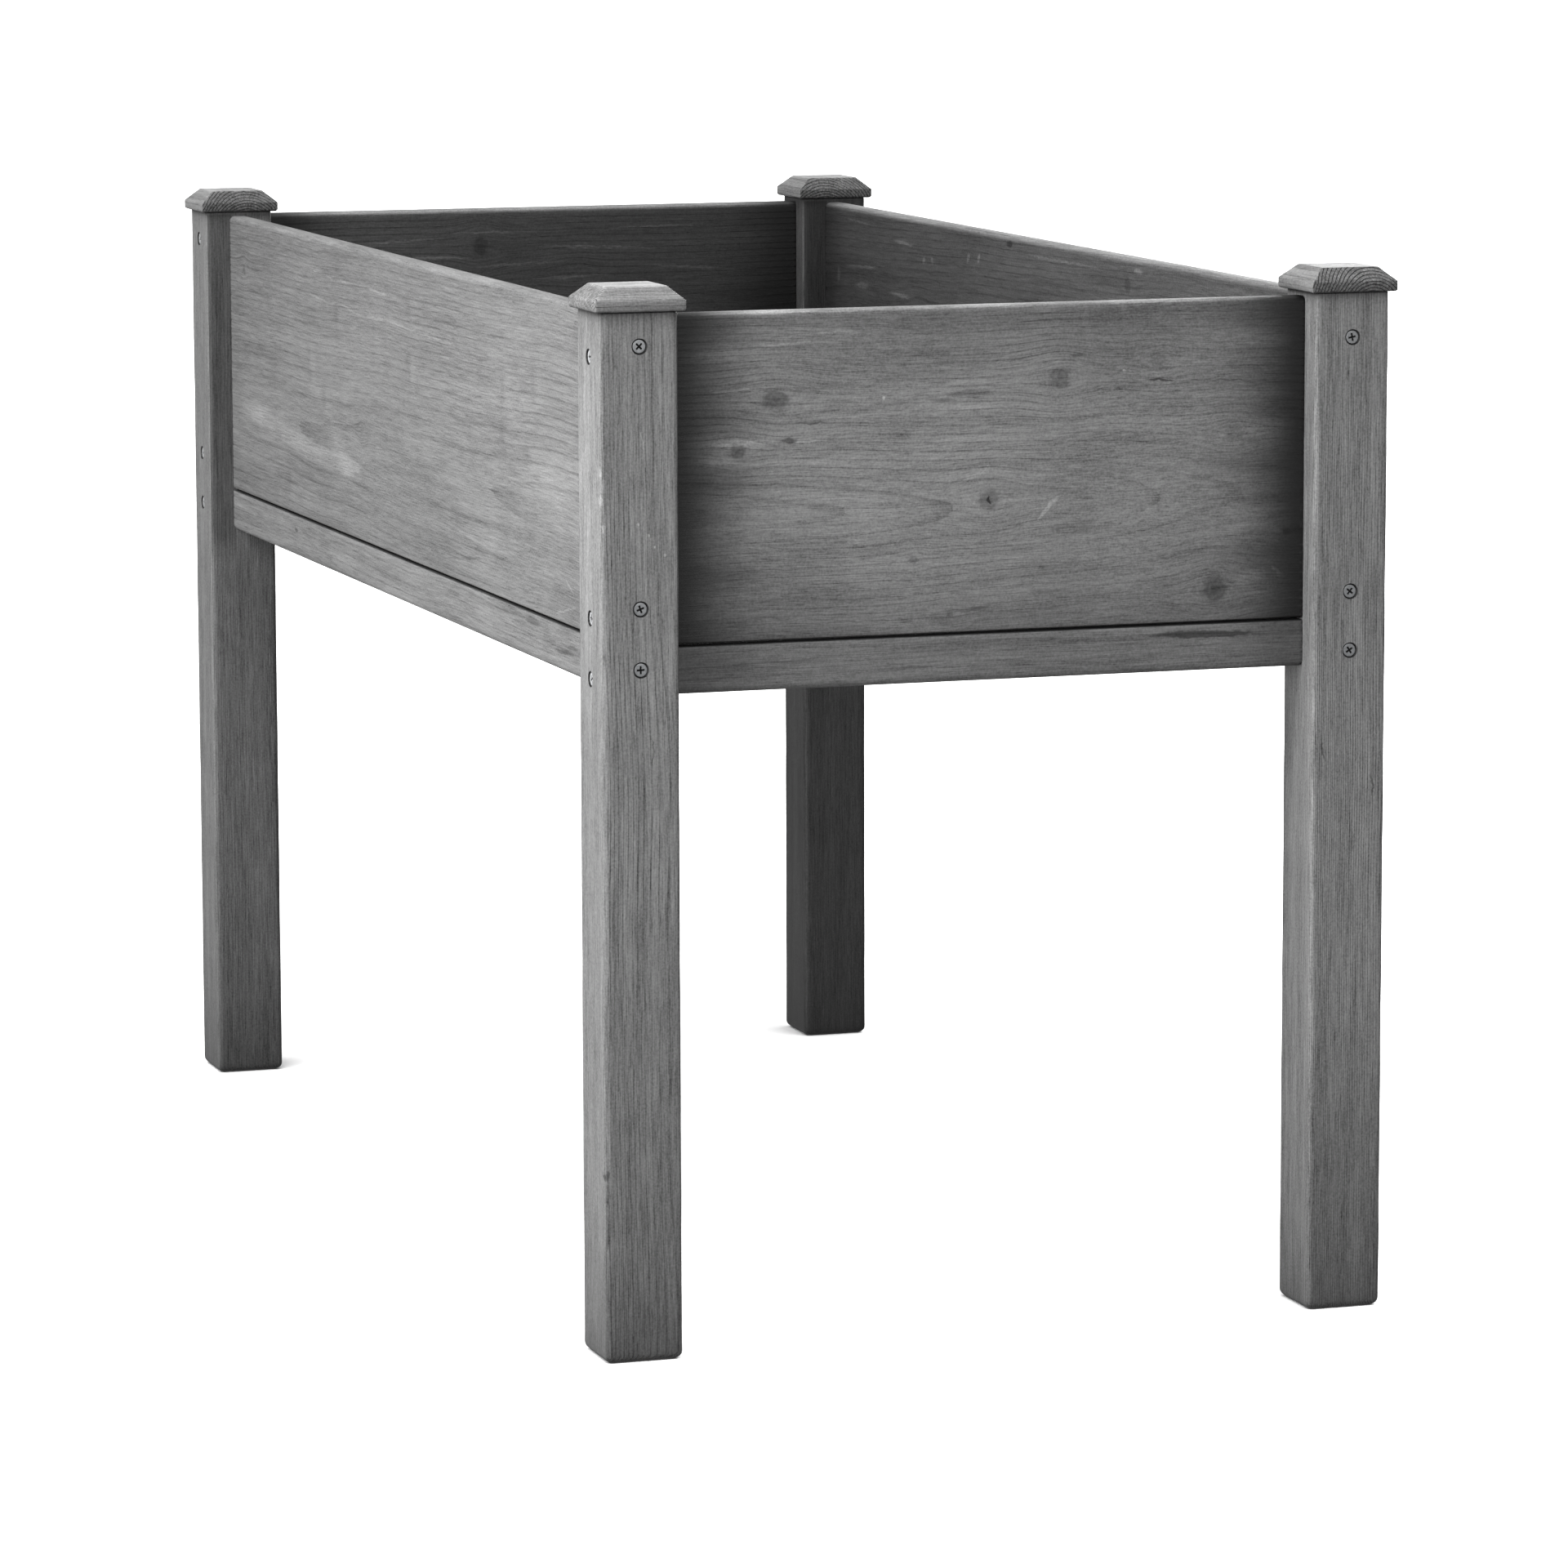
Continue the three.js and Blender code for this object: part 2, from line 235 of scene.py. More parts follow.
class Block:
    """The closed skin of a block that lines along X, Y and Z cut into cells.

    A face is kept wherever a solid cell meets an empty one or the outside. Bores are cut into the
    outer faces: a square of cells is taken out, and rings run from its edge to the hole's rim and
    down the hole to a point.

    Attributes:
        blend_shares: how far the rings between a bore's square and its rim lie towards the rim.
    """

    blend_shares: tuple[float, ...] = (0.35, 0.7, 0.93)

    def __init__(
        self, lines: tuple[np.ndarray, np.ndarray, np.ndarray], solid: np.ndarray | None = None
    ) -> None:
        """Finds the faces between solid cells and empty ones.

        Args:
            lines: rising places of the cell walls along X, Y and Z.
            solid: which cells are wood; every cell if it is left out.
        """
        self.lines = lines
        self.shape = tuple(len(axis_lines) for axis_lines in lines)
        if solid is None:
            solid = np.ones([n - 1 for n in self.shape], bool)
        corner_sets, keys = [], []
        for axis in range(3):
            padded = np.pad(solid, [(1, 1) if a == axis else (0, 0) for a in range(3)])
            step = np.diff(padded.astype(int), axis=axis)
            for side in (1, -1):
                cell = np.argwhere(step == -side)
                corner_sets.append(self._corners(cell, axis, side))
                ways = np.tile([axis, side], (len(cell), 1))
                keys.append(np.column_stack([ways, cell]))
        corners = np.concatenate(corner_sets)
        self.keys = np.concatenate(keys)
        used, flat = np.unique(corners, return_inverse=True)
        self.quads = flat.reshape(corners.shape)
        self.number = np.full(int(np.prod(self.shape)), -1)
        self.number[used] = np.arange(len(used))
        indices = np.unravel_index(used, self.shape)
        self.points = np.column_stack([lines[a][indices[a]] for a in range(3)])
        self.triangles = np.zeros((0, 3), int)
        self.in_bore = np.zeros(len(self.points), bool)

    def _corners(self, cell: np.ndarray, axis: int, side: int) -> np.ndarray:
        """Finds the four lattice corners of each face.

        Args:
            cell: the lattice place of each face's first corner.
            axis: the axis that the faces look along.
            side: +1 or -1, the way they look.

        Returns:
            For each face, four corner numbers that turn so that it looks to its side.
        """
        b, c = (axis + 1) % 3, (axis + 2) % 3
        turn = [(0, 0), (1, 0), (1, 1), (0, 1)][::side]
        found = []
        for db, dc in turn:
            corner = cell.copy()
            corner[:, b] += db
            corner[:, c] += dc
            found.append(np.ravel_multi_index(tuple(corner.T), self.shape))
        return np.column_stack(found)

    def bore(
        self,
        axis: int,
        side: int,
        centre: tuple[float, float],
        reach: float,
        profile: list[tuple[float, float]],
    ) -> None:
        """Cuts a round hole into an outer face.

        The rings between the square and the rim are blends of the two, point by point along each
        ray from the hole's middle. Each deeper ring is a circle of its own radius and depth.

        Args:
            axis: the axis that the face looks along.
            side: +1 or -1, the way it looks.
            centre: the hole's middle on the two axes that follow, in turn.
            reach: half the side of the square that is taken out.
            profile: radius and depth of each circle, from the rim down; the last radius is 0.
        """
        b, c = (axis + 1) % 3, (axis + 2) % 3
        last = len(self.lines[axis]) - 1 if side > 0 else 0
        low_b, high_b, low_c, high_c = (
            int(np.abs(self.lines[a] - middle - s * reach).argmin())
            for a, middle in ((b, centre[0]), (c, centre[1]))
            for s in (-1, 1)
        )
        gone = (self.keys[:, 0] == axis) & (self.keys[:, 1] == side)
        gone &= (self.keys[:, 2 + b] >= low_b) & (self.keys[:, 2 + b] < high_b)
        gone &= (self.keys[:, 2 + c] >= low_c) & (self.keys[:, 2 + c] < high_c)
        gone &= self.keys[:, 2 + axis] == last
        self.quads, self.keys = self.quads[~gone], self.keys[~gone]
        along_b, along_c = np.arange(low_b, high_b), np.arange(low_c, high_c)
        still_b, still_c = np.ones_like(along_b), np.ones_like(along_c)
        loop_b = np.concatenate([along_b, still_c * high_b, along_b[::-1] + 1, still_c * low_b])
        loop_c = np.concatenate([still_b * low_c, along_c, still_b * high_c, along_c[::-1] + 1])
        index = np.zeros((3, len(loop_b)), int)
        index[axis], index[b], index[c] = last, loop_b, loop_c
        loop = self.number[np.ravel_multi_index(tuple(index), self.shape)][::side]
        rim = self.points[loop]
        around = rim[:, [b, c]] - centre
        around /= np.linalg.norm(around, axis=1, keepdims=True)
        circles = np.repeat(rim[None], len(profile) - 1, 0)
        radii, depths = np.array(profile[:-1]).T
        circles[:, :, [b, c]] = np.array(centre) + around * radii[:, None, None]
        circles[:, :, axis] -= side * depths[:, None]
        shares = np.array(self.blend_shares)[:, None, None]
        blends = rim * (1 - shares) + circles[0] * shares
        rings = np.concatenate([blends, circles])
        pole = rim.mean(0)
        pole[[b, c]] = centre
        pole[axis] = rim[0, axis] - side * profile[-1][1]
        count, start = len(loop), len(self.points)
        inner = start + np.arange(len(rings) * count).reshape(len(rings), count)
        ring_index = np.concatenate([loop[None], inner])
        near, far = ring_index[:-1], ring_index[1:]
        quads = np.stack([near, np.roll(near, -1, 1), np.roll(far, -1, 1), far], -1).reshape(-1, 4)
        tip = np.full(count, start + rings.shape[0] * count)
        self.triangles = np.concatenate(
            [self.triangles, np.column_stack([ring_index[-1], np.roll(ring_index[-1], -1), tip])]
        )
        self.quads = np.concatenate([self.quads, quads])
        self.keys = np.concatenate([self.keys, np.full((len(quads), 5), NO_CELL)])
        self.points = np.concatenate([self.points, rings.reshape(-1, 3), pole[None]])
        walls = np.arange(len(rings)) >= len(blends)
        self.in_bore = np.concatenate([self.in_bore, np.repeat(walls, count), [True]])

    def skin(self) -> Skin:
        """The finished surface."""
        return Skin(self.points, self.quads, self.triangles)


def rounded_section(
    a: np.ndarray, b: np.ndarray, half_a: float, half_b: float, radius: np.ndarray
) -> tuple[np.ndarray, np.ndarray]:
    """Rounds the corners of a rectangular section, inside and out.

    In the square at each corner, a point that lies on a square ring about the square's inner corner
    moves along its ray onto the round ring of the same reach.

    Args:
        a: places along the section's first axis, about its middle.
        b: places along its second axis.
        half_a: half the section's first side.
        half_b: half its second side.
        radius: the corner's radius, for each point.

    Returns:
        The new places along both axes.
    """
    over_a = np.maximum(np.abs(a) - (half_a - radius), 0)
    over_b = np.maximum(np.abs(b) - (half_b - radius), 0)
    length = np.hypot(over_a, over_b)
    both = (over_a > 0) & (over_b > 0)
    share = np.where(both, np.maximum(over_a, over_b) / np.where(both, length, 1), 1)
    new_a = np.where(both, np.sign(a) * (half_a - radius + over_a * share), a)
    new_b = np.where(both, np.sign(b) * (half_b - radius + over_b * share), b)
    return new_a, new_b


# --- Wood ----------------------------------------


class MarkKind(Enum):
    """What a mark on a board is."""

    KNOT = "knot"
    STREAK = "streak"
    PALE = "pale"


@dataclass(frozen=True)
class Mark:
    """One mark on a board, in millimetres from the board's middle and lower edge.

    Attributes:
        kind: what it is.
        along: its middle, along the board.
        up: its middle, above the board's lower edge.
        half_length: half its size along the board.
        half_height: half its size across it.
        strength: how much darker it is, or for a pale mark how much lighter, as a share.
        slant: its turn in the face, in degrees, upwards to the board's far end.
        soft: the share of its size over which it fades.
        inside: whether it lies on the inner face and not on the outer one.
    """

    kind: MarkKind
    along: float
    up: float
    half_length: float
    half_height: float
    strength: float = 0.4
    slant: float = 0.0
    soft: float = 0.5
    inside: bool = False


MARK_DEPTH = 11 * MM  # how deep a mark goes into its board
RAGGEDNESS = (0.008, 0.008, 0.004)  # how far a mark's edge strays, in metres on each axis

Knots = list[tuple[float, float, float, float]]
PlacedMarks = tuple[tuple[Mark, Vector], ...]


@dataclass(frozen=True)
class Timber:
    """Where a piece lay in its tree.

    Attributes:
        grain: the axis that the grain runs along.
        pith: the tree's middle, from the middle of the piece's section, on the two axes that follow
            the grain's in turn, in millimetres.
        lean: how far the tree's middle drifts on each of those axes, in millimetres per metre.
        wander: half the sideways sweep of the grain, in millimetres.
        seed: the draw for its waves.
    """

    grain: Axis
    pith: tuple[float, float]
    lean: tuple[float, float] = (0.0, 0.0)
    wander: float = 3.0
    seed: int = 1

    def field(self, points: np.ndarray, knots: Knots) -> np.ndarray:
        """Where each point lay in the tree.

        The distance from the tree's middle line gives the growth ring. Beside a knot, the place
        across the grain is drawn in towards the knot's line by a bell curve, so the rings swell
        round it.

        Args:
            points: places in the planter, in metres.
            knots: for each knot its place along and across, and its half length and half height.

        Returns:
            For each point: along the grain, and the place across it from the tree's middle.
        """
        first = (self.grain.value + 1) % 3
        second = (self.grain.value + 2) % 3
        middle = (points.min(0) + points.max(0)) / 2
        along = points[:, self.grain.value]
        a = points[:, first] - middle[first]
        b = points[:, second] - middle[second]
        draw = np.zeros(len(points))
        for place, height, half_length, half_height in knots:
            above = points[:, 2] - height
            bell = ((along - place) / (2.2 * half_length)) ** 2 + (above / (2.0 * half_height)) ** 2
            draw -= 0.55 * above * np.exp(-bell)
        if self.grain is not Axis.Z:
            a, b = (a + draw, b) if first == 2 else (a, b + draw)
        length = along - middle[self.grain.value]
        sway_a, sway_b = waves(along, 0.6, self.seed), waves(along, 0.45, self.seed + 50)
        sweep_a = self.pith[0] + self.lean[0] * length + self.wander * sway_a
        sweep_b = self.pith[1] + self.lean[1] * length + self.wander * sway_b
        return np.column_stack([along, a - sweep_a * MM, b - sweep_b * MM])


@dataclass(frozen=True)
class StainedWood:
    """Planed fir under a thin water-based stain, brushed on and wiped.

    The eye gets a flat, matt colour through which fine pores, soft bands and thin late-wood lines
    show. Over it lie painted shade beside the posts, inside the box and in recesses, and painted
    highlights on upper arrises and cap tops.

    Attributes:
        name: the material's name.
        colour: the stained wood's colour, sRGB.
        ring_spacing: growth ring width, in millimetres.
        ring_depth: how much darker a late-wood line is, as a share.
        pores: how strongly the pores and fine fibres show.
        bands: how strongly the soft bands along the grain show.
        blotches: how strongly the stain varies from place to place.
        fuzz: how strongly the raised fibre ends show.
        torn: how rough the sawn end grain looks.
        torn_scale: how many torn specks there are in a metre.
        roughness: the surface's roughness.
        relief: height of the raised grain, in millimetres.
    """

    name: str
    colour: str
    ring_spacing: float = 3.2
    ring_depth: float = 0.27
    pores: float = 2.3
    bands: float = 1.0
    blotches: float = 0.6
    fuzz: float = 1.0
    torn: float = 2.6
    torn_scale: float = 850
    roughness: float = 0.5
    relief: float = 0.45

    def build(self, plane: Axis = Axis.X, marks: PlacedMarks = ()) -> Material:
        """Makes the material.

        Args:
            plane: the axis that the marked face looks along.
            marks: each mark with its middle in the planter's frame.

        Returns:
            The material, which reads the attributes grain, stain_and_shade and end_grain.
        """
        material, tree = new_material(self.name)
        grain = add_node(tree, "Attribute", out="Vector", attribute_name="grain")
        stain_and_shade = add_node(tree, "Attribute", out="Fac", attribute_name="stain_and_shade")
        end_grain = add_node(tree, "Attribute", out="Fac", attribute_name="end_grain")
        place = add_node(tree, "TexCoord", out="Object")
        # Fibres are about 0.5 mm wide; to show, they are drawn from 1 mm wide and 30 mm long down.
        pore = self._along_grain(tree, grain, (33, 1000, 1000), 6, 0.78)
        # Open pores filled with stain: short dark dashes 0.8 mm wide and 8 mm long.
        dash = self._along_grain(tree, grain, (120, 1250, 1250), 2, 0.5)
        # Soft bands 11 mm wide and 220 mm long, where the brush followed the grain.
        band = self._along_grain(tree, grain, (4.5, 90, 90), 4, 0.6)
        # Blotches 70 to 140 mm across, where the wood drank unevenly.
        settings = {"Scale": 9, "Detail": 4, "Roughness": 0.6}
        blotch = add_node(tree, "TexNoise", place, out="Fac", named=settings)
        # Fibre ends that the water raised: even specks 1.6 mm across, coarser than the real ones.
        settings = {"Scale": 620, "Detail": 2, "Roughness": 0.6}
        fuzz = add_node(tree, "TexNoise", place, out="Fac", named=settings)
        late = self._late_wood(tree, grain, band, blotch, end_grain)
        # Each layer is added about a middle value of 1.
        base = 1 - self.pores / 2
        tone = add_node(tree, "Math", pore, self.pores, base, operation="MULTIPLY_ADD")
        for layer, depth in ((band, self.bands), (blotch, self.blotches), (fuzz, self.fuzz)):
            centred = add_node(tree, "Math", layer, 0.5, operation="SUBTRACT")
            tone = add_node(tree, "Math", centred, depth, tone, operation="MULTIPLY_ADD")
        tone = add_node(tree, "Math", late, -self.ring_depth, tone, operation="MULTIPLY_ADD")
        for low, high, change in ((0.6, 0.72, -0.28), (0.3, 0.22, 0.24)):
            share = add_node(tree, "MapRange", dash, low, high)
            tone = add_node(tree, "Math", share, change, tone, operation="MULTIPLY_ADD")
        # The stain_and_shade attribute carries the stain's own unevenness and also painted shade
        # and highlights.
        tone = add_node(tree, "Math", tone, stain_and_shade, operation="MULTIPLY")
        # Torn end grain: ragged light and dark specks 1 to 2 mm across.
        settings = {"Scale": self.torn_scale, "Detail": 3, "Roughness": 0.65}
        speck = add_node(tree, "TexNoise", place, out="Fac", named=settings)
        rough = add_node(tree, "Math", speck, self.torn, -self.torn / 2, operation="MULTIPLY_ADD")
        rough = add_node(tree, "Math", rough, end_grain, 1.0, operation="MULTIPLY_ADD")
        tone = add_node(tree, "Math", tone, rough, operation="MULTIPLY")
        if marks:
            tone = self._marked(tree, place, tone, plane, marks)
        colour = linear(self.colour)[:3]
        colour = add_node(tree, "VectorMath", colour, named={"Scale": tone}, operation="SCALE")
        height = add_node(tree, "Math", late, 0.6, pore, operation="MULTIPLY_ADD")
        settings = {"Strength": 0.6, "Distance": self.relief * MM, "Height": height}
        bump = add_node(tree, "Bump", named=settings)
        base = self.roughness - 0.12
        roughness = add_node(tree, "Math", pore, 0.24, base, operation="MULTIPLY_ADD")
        settings = {"Base Color": colour, "Roughness": roughness, "Normal": bump}
        settings |= {"IOR": 1.45, "Specular IOR Level": 0.3}
        surface = add_node(tree, "BsdfPrincipled", named=settings)
        add_node(tree, "OutputMaterial", surface)
        return material

    @staticmethod
    def _along_grain(
        tree: Tree,
        grain: Socket,
        scale: tuple[float, float, float],
        detail: float,
        roughness: float,
    ) -> Socket:
        """A noise that is drawn out along the grain.

        Args:
            tree: the material's tree.
            grain: the place in the tree: along the grain, then twice across it.
            scale: how many waves there are in a metre, along and across.
            detail: how many finer layers it has.
            roughness: how strong they are.

        Returns:
            The noise, from 0 to 1.
        """
        stretched = add_node(tree, "Mapping", grain, named={"Scale": scale})
        settings = {"Scale": 1, "Detail": detail, "Roughness": roughness}
        return add_node(tree, "TexNoise", stretched, out="Fac", named=settings)

    def _late_wood(
        self,
        tree: Tree,
        grain: Socket,
        band: Socket,
        blotch: Socket,
        end_grain: Socket,
    ) -> Socket:
        """The dark part of each growth ring: the distance from the pith, counted in ring widths.

        Args:
            tree: the material's tree.
            grain: the place in the tree.
            band: the soft bands, which space the rings unevenly.
            blotch: the blotches, which let the rings show more or less.
            end_grain: how far the face is end grain, on which they show most.

        Returns:
            How strongly late wood shows.
        """
        across = add_node(tree, "VectorMath", grain, (0, 1, 1), operation="MULTIPLY")
        distance = add_node(tree, "VectorMath", across, out="Value", operation="LENGTH")
        unevenness = add_node(tree, "Math", band, 0.4, operation="MULTIPLY")
        in_metre = 1 / (self.ring_spacing * MM)
        count = add_node(tree, "Math", distance, in_metre, unevenness, operation="MULTIPLY_ADD")
        ring = add_node(tree, "Math", count, operation="FRACT")
        late = add_node(tree, "MapRange", ring, 0.7, 1.0, interpolation_type="SMOOTHSTEP")
        showing = add_node(tree, "MapRange", blotch, 0.35, 0.65, 0.25)
        showing = add_node(tree, "Math", end_grain, 2.6, showing, operation="MULTIPLY_ADD")
        return add_node(tree, "Math", late, showing, operation="MULTIPLY")

    @staticmethod
    def _marked(
        tree: Tree,
        place: Socket,
        tone: Socket,
        plane: Axis,
        marks: PlacedMarks,
    ) -> Socket:
        """Darkens or lightens the tone inside each mark's ellipse, whose edge a noise makes ragged.

        Args:
            tree: the material's tree.
            place: the place in the planter.
            tone: the tone without marks.
            plane: the axis that the marked face looks along.
            marks: each mark with its middle.

        Returns:
            The tone with marks.
        """
        ragged = add_node(tree, "TexNoise", place, out="Color", named={"Scale": 130, "Detail": 2})
        shift = add_node(tree, "VectorMath", ragged, (0.5, 0.5, 0.5), operation="SUBTRACT")
        moved = add_node(tree, "VectorMath", shift, RAGGEDNESS, place, operation="MULTIPLY_ADD")
        for mark, middle in marks:
            size = Vector((mark.half_length, mark.half_length, mark.half_height)) * MM
            size[plane.value] = MARK_DEPTH
            turn = [0.0, 0.0, 0.0]
            turn[plane.value] = math.radians(mark.slant if plane is Axis.X else -mark.slant)
            settings = {"Location": middle, "Rotation": turn, "Scale": size}
            own = add_node(tree, "Mapping", moved, named=settings, vector_type="TEXTURE")
            reach = add_node(tree, "VectorMath", own, out="Value", operation="LENGTH")
            full = 1.0 - mark.soft
            inside = add_node(tree, "MapRange", reach, 1.0, full, interpolation_type="SMOOTHSTEP")
            if mark.kind is MarkKind.KNOT:
                # A knot has faint rings of its own, two across its half width.
                turns = add_node(tree, "Math", reach, 14.0, operation="MULTIPLY")
                rings = add_node(tree, "Math", turns, operation="SINE")
                share = add_node(tree, "Math", rings, 0.17, 0.9, operation="MULTIPLY_ADD")
                inside = add_node(tree, "Math", inside, share, operation="MULTIPLY")
            change = mark.strength if mark.kind is MarkKind.PALE else -mark.strength
            factor = add_node(tree, "Math", inside, change, 1.0, operation="MULTIPLY_ADD")
            tone = add_node(tree, "Math", tone, factor, operation="MULTIPLY")
        return tone


@dataclass(frozen=True)
class ZincPlate:
    """Pressed steel under bright zinc plate.

    The eye gets a soft mirror with a faint mottle, and grime and painted shade in the driver
    recess.
    """

    name: str = "zinc_plated_steel"
    colour: str = "#9b9d9f"
    # Near black for grime and painted shade in the driver recess.
    grime_and_shade: str = "#060606"
    roughness: float = 0.45
    metal: float = 0.3

    def build(self) -> Material:
        """Makes the material, which reads the attribute grime_and_shade."""
        material, tree = new_material(self.name)
        place = add_node(tree, "TexCoord", out="Object")
        # Zinc spangle about 1 mm across.
        spangle = add_node(tree, "TexNoise", place, out="Fac", named={"Scale": 900, "Detail": 2})
        # Grime and painted shade darken the driver recess.
        grime_and_shade = add_node(tree, "Attribute", out="Fac", attribute_name="grime_and_shade")
        bright = add_node(tree, "MapRange", spangle, 0.3, 0.7, 0.75)
        plate = linear(self.colour)[:3]
        plate = add_node(tree, "VectorMath", plate, named={"Scale": bright}, operation="SCALE")
        mixed = {"Factor": grime_and_shade, "A": plate, "B": linear(self.grime_and_shade)}
        colour = add_node(tree, "Mix", out="Result", data_type="RGBA", named=mixed)
        rough = add_node(tree, "Math", grime_and_shade, 0.5, self.roughness, operation="MULTIPLY_ADD")
        clean = add_node(tree, "Math", grime_and_shade, -self.metal, self.metal, operation="MULTIPLY_ADD")
        settings = {"Base Color": colour, "Roughness": rough, "Metallic": clean}
        add_node(tree, "OutputMaterial", add_node(tree, "BsdfPrincipled", named=settings))
        return material


@dataclass(frozen=True)
class Beech:
    """Turned beech, left bare: an even pale brown with short dark flecks along the dowel."""

    name: str = "turned_beech"
    pale: str = "#cfb08a"
    dark: str = "#a98157"

    def build(self) -> Material:
        """Makes the material."""
        material, tree = new_material(self.name)
        place = add_node(tree, "TexCoord", out="Object")
        # Ray flecks 0.7 mm wide and 3 mm long.
        stretched = add_node(tree, "Mapping", place, named={"Scale": (1400, 1400, 330)})
        fleck = add_node(tree, "TexNoise", stretched, out="Fac", named={"Scale": 1, "Detail": 3})
        share = add_node(tree, "MapRange", fleck, 0.4, 0.7)
        mixed = {"Factor": share, "A": linear(self.pale), "B": linear(self.dark)}
        colour = add_node(tree, "Mix", out="Result", data_type="RGBA", named=mixed)
        settings = {"Base Color": colour, "Roughness": 0.55, "IOR": 1.45}
        add_node(tree, "OutputMaterial", add_node(tree, "BsdfPrincipled", named=settings))
        return material


def give_attribute(mesh: bpy.types.Mesh, name: str, values: np.ndarray) -> None:
    """Gives every point of a mesh a value of its own.

    Args:
        mesh: the mesh.
        name: the attribute's name.
        values: a number or a vector for each point.
    """
    kind, key = ("FLOAT_VECTOR", "vector") if values.ndim > 1 else ("FLOAT", "value")
    attribute = mesh.attributes.new(name, kind, "POINT")
    attribute.data.foreach_set(key, values.astype(np.float32).ravel())


def finish_wood(
    piece: bpy.types.Object,
    timber: Timber,
    stain_and_shade: np.ndarray,
    material: Material,
    knots: Knots | None = None,
    soak: float = 0.3,
) -> None:
    """Gives a wooden piece its grain, its stain with painted shade and highlights, and its
    material.

    A point is end grain as far as its normal runs along the grain.

    Args:
        piece: the piece, with its mesh final.
        timber: where it lay in its tree.
        stain_and_shade: for each point, its brightness beside the plain stain's, from the stain
            itself and from painted shade and painted highlights.
        material: the finish.
        knots: the knots that the grain bends round, as Timber.field takes them.
        soak: how much darker the end grain is for the stain it drank, as a share.
    """
    mesh = piece.data
    points, normals = np.zeros((2, len(mesh.vertices) * 3), np.float32)
    mesh.vertices.foreach_get("co", points)
    mesh.vertex_normals.foreach_get("vector", normals)
    facing = np.abs(normals.reshape(-1, 3)[:, timber.grain.value]).astype(float)
    end_grain = np.clip((facing - 0.35) / 0.4, 0, 1)
    give_attribute(mesh, "grain", timber.field(points.reshape(-1, 3).astype(float), knots or []))
    give_attribute(mesh, "stain_and_shade", stain_and_shade * (1 - soak * end_grain))
    give_attribute(mesh, "end_grain", end_grain)
    mesh.materials.append(material)


def settle(piece: bpy.types.Object, slot: str, *nodes: str) -> bpy.types.Object:
    """Lets a piece ride on the body and stand for its CAD nodes, and reports it.

    Args:
        piece: the piece.
        slot: not used.
        nodes: the CAD nodes that it replaces.

    Returns:
        The piece.
    """
    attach(piece, BODY)
    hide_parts(*nodes)
    log.info("%s: %d faces", piece.name, len(piece.data.polygons))
    return piece


# --- Screws ----------------------------------------


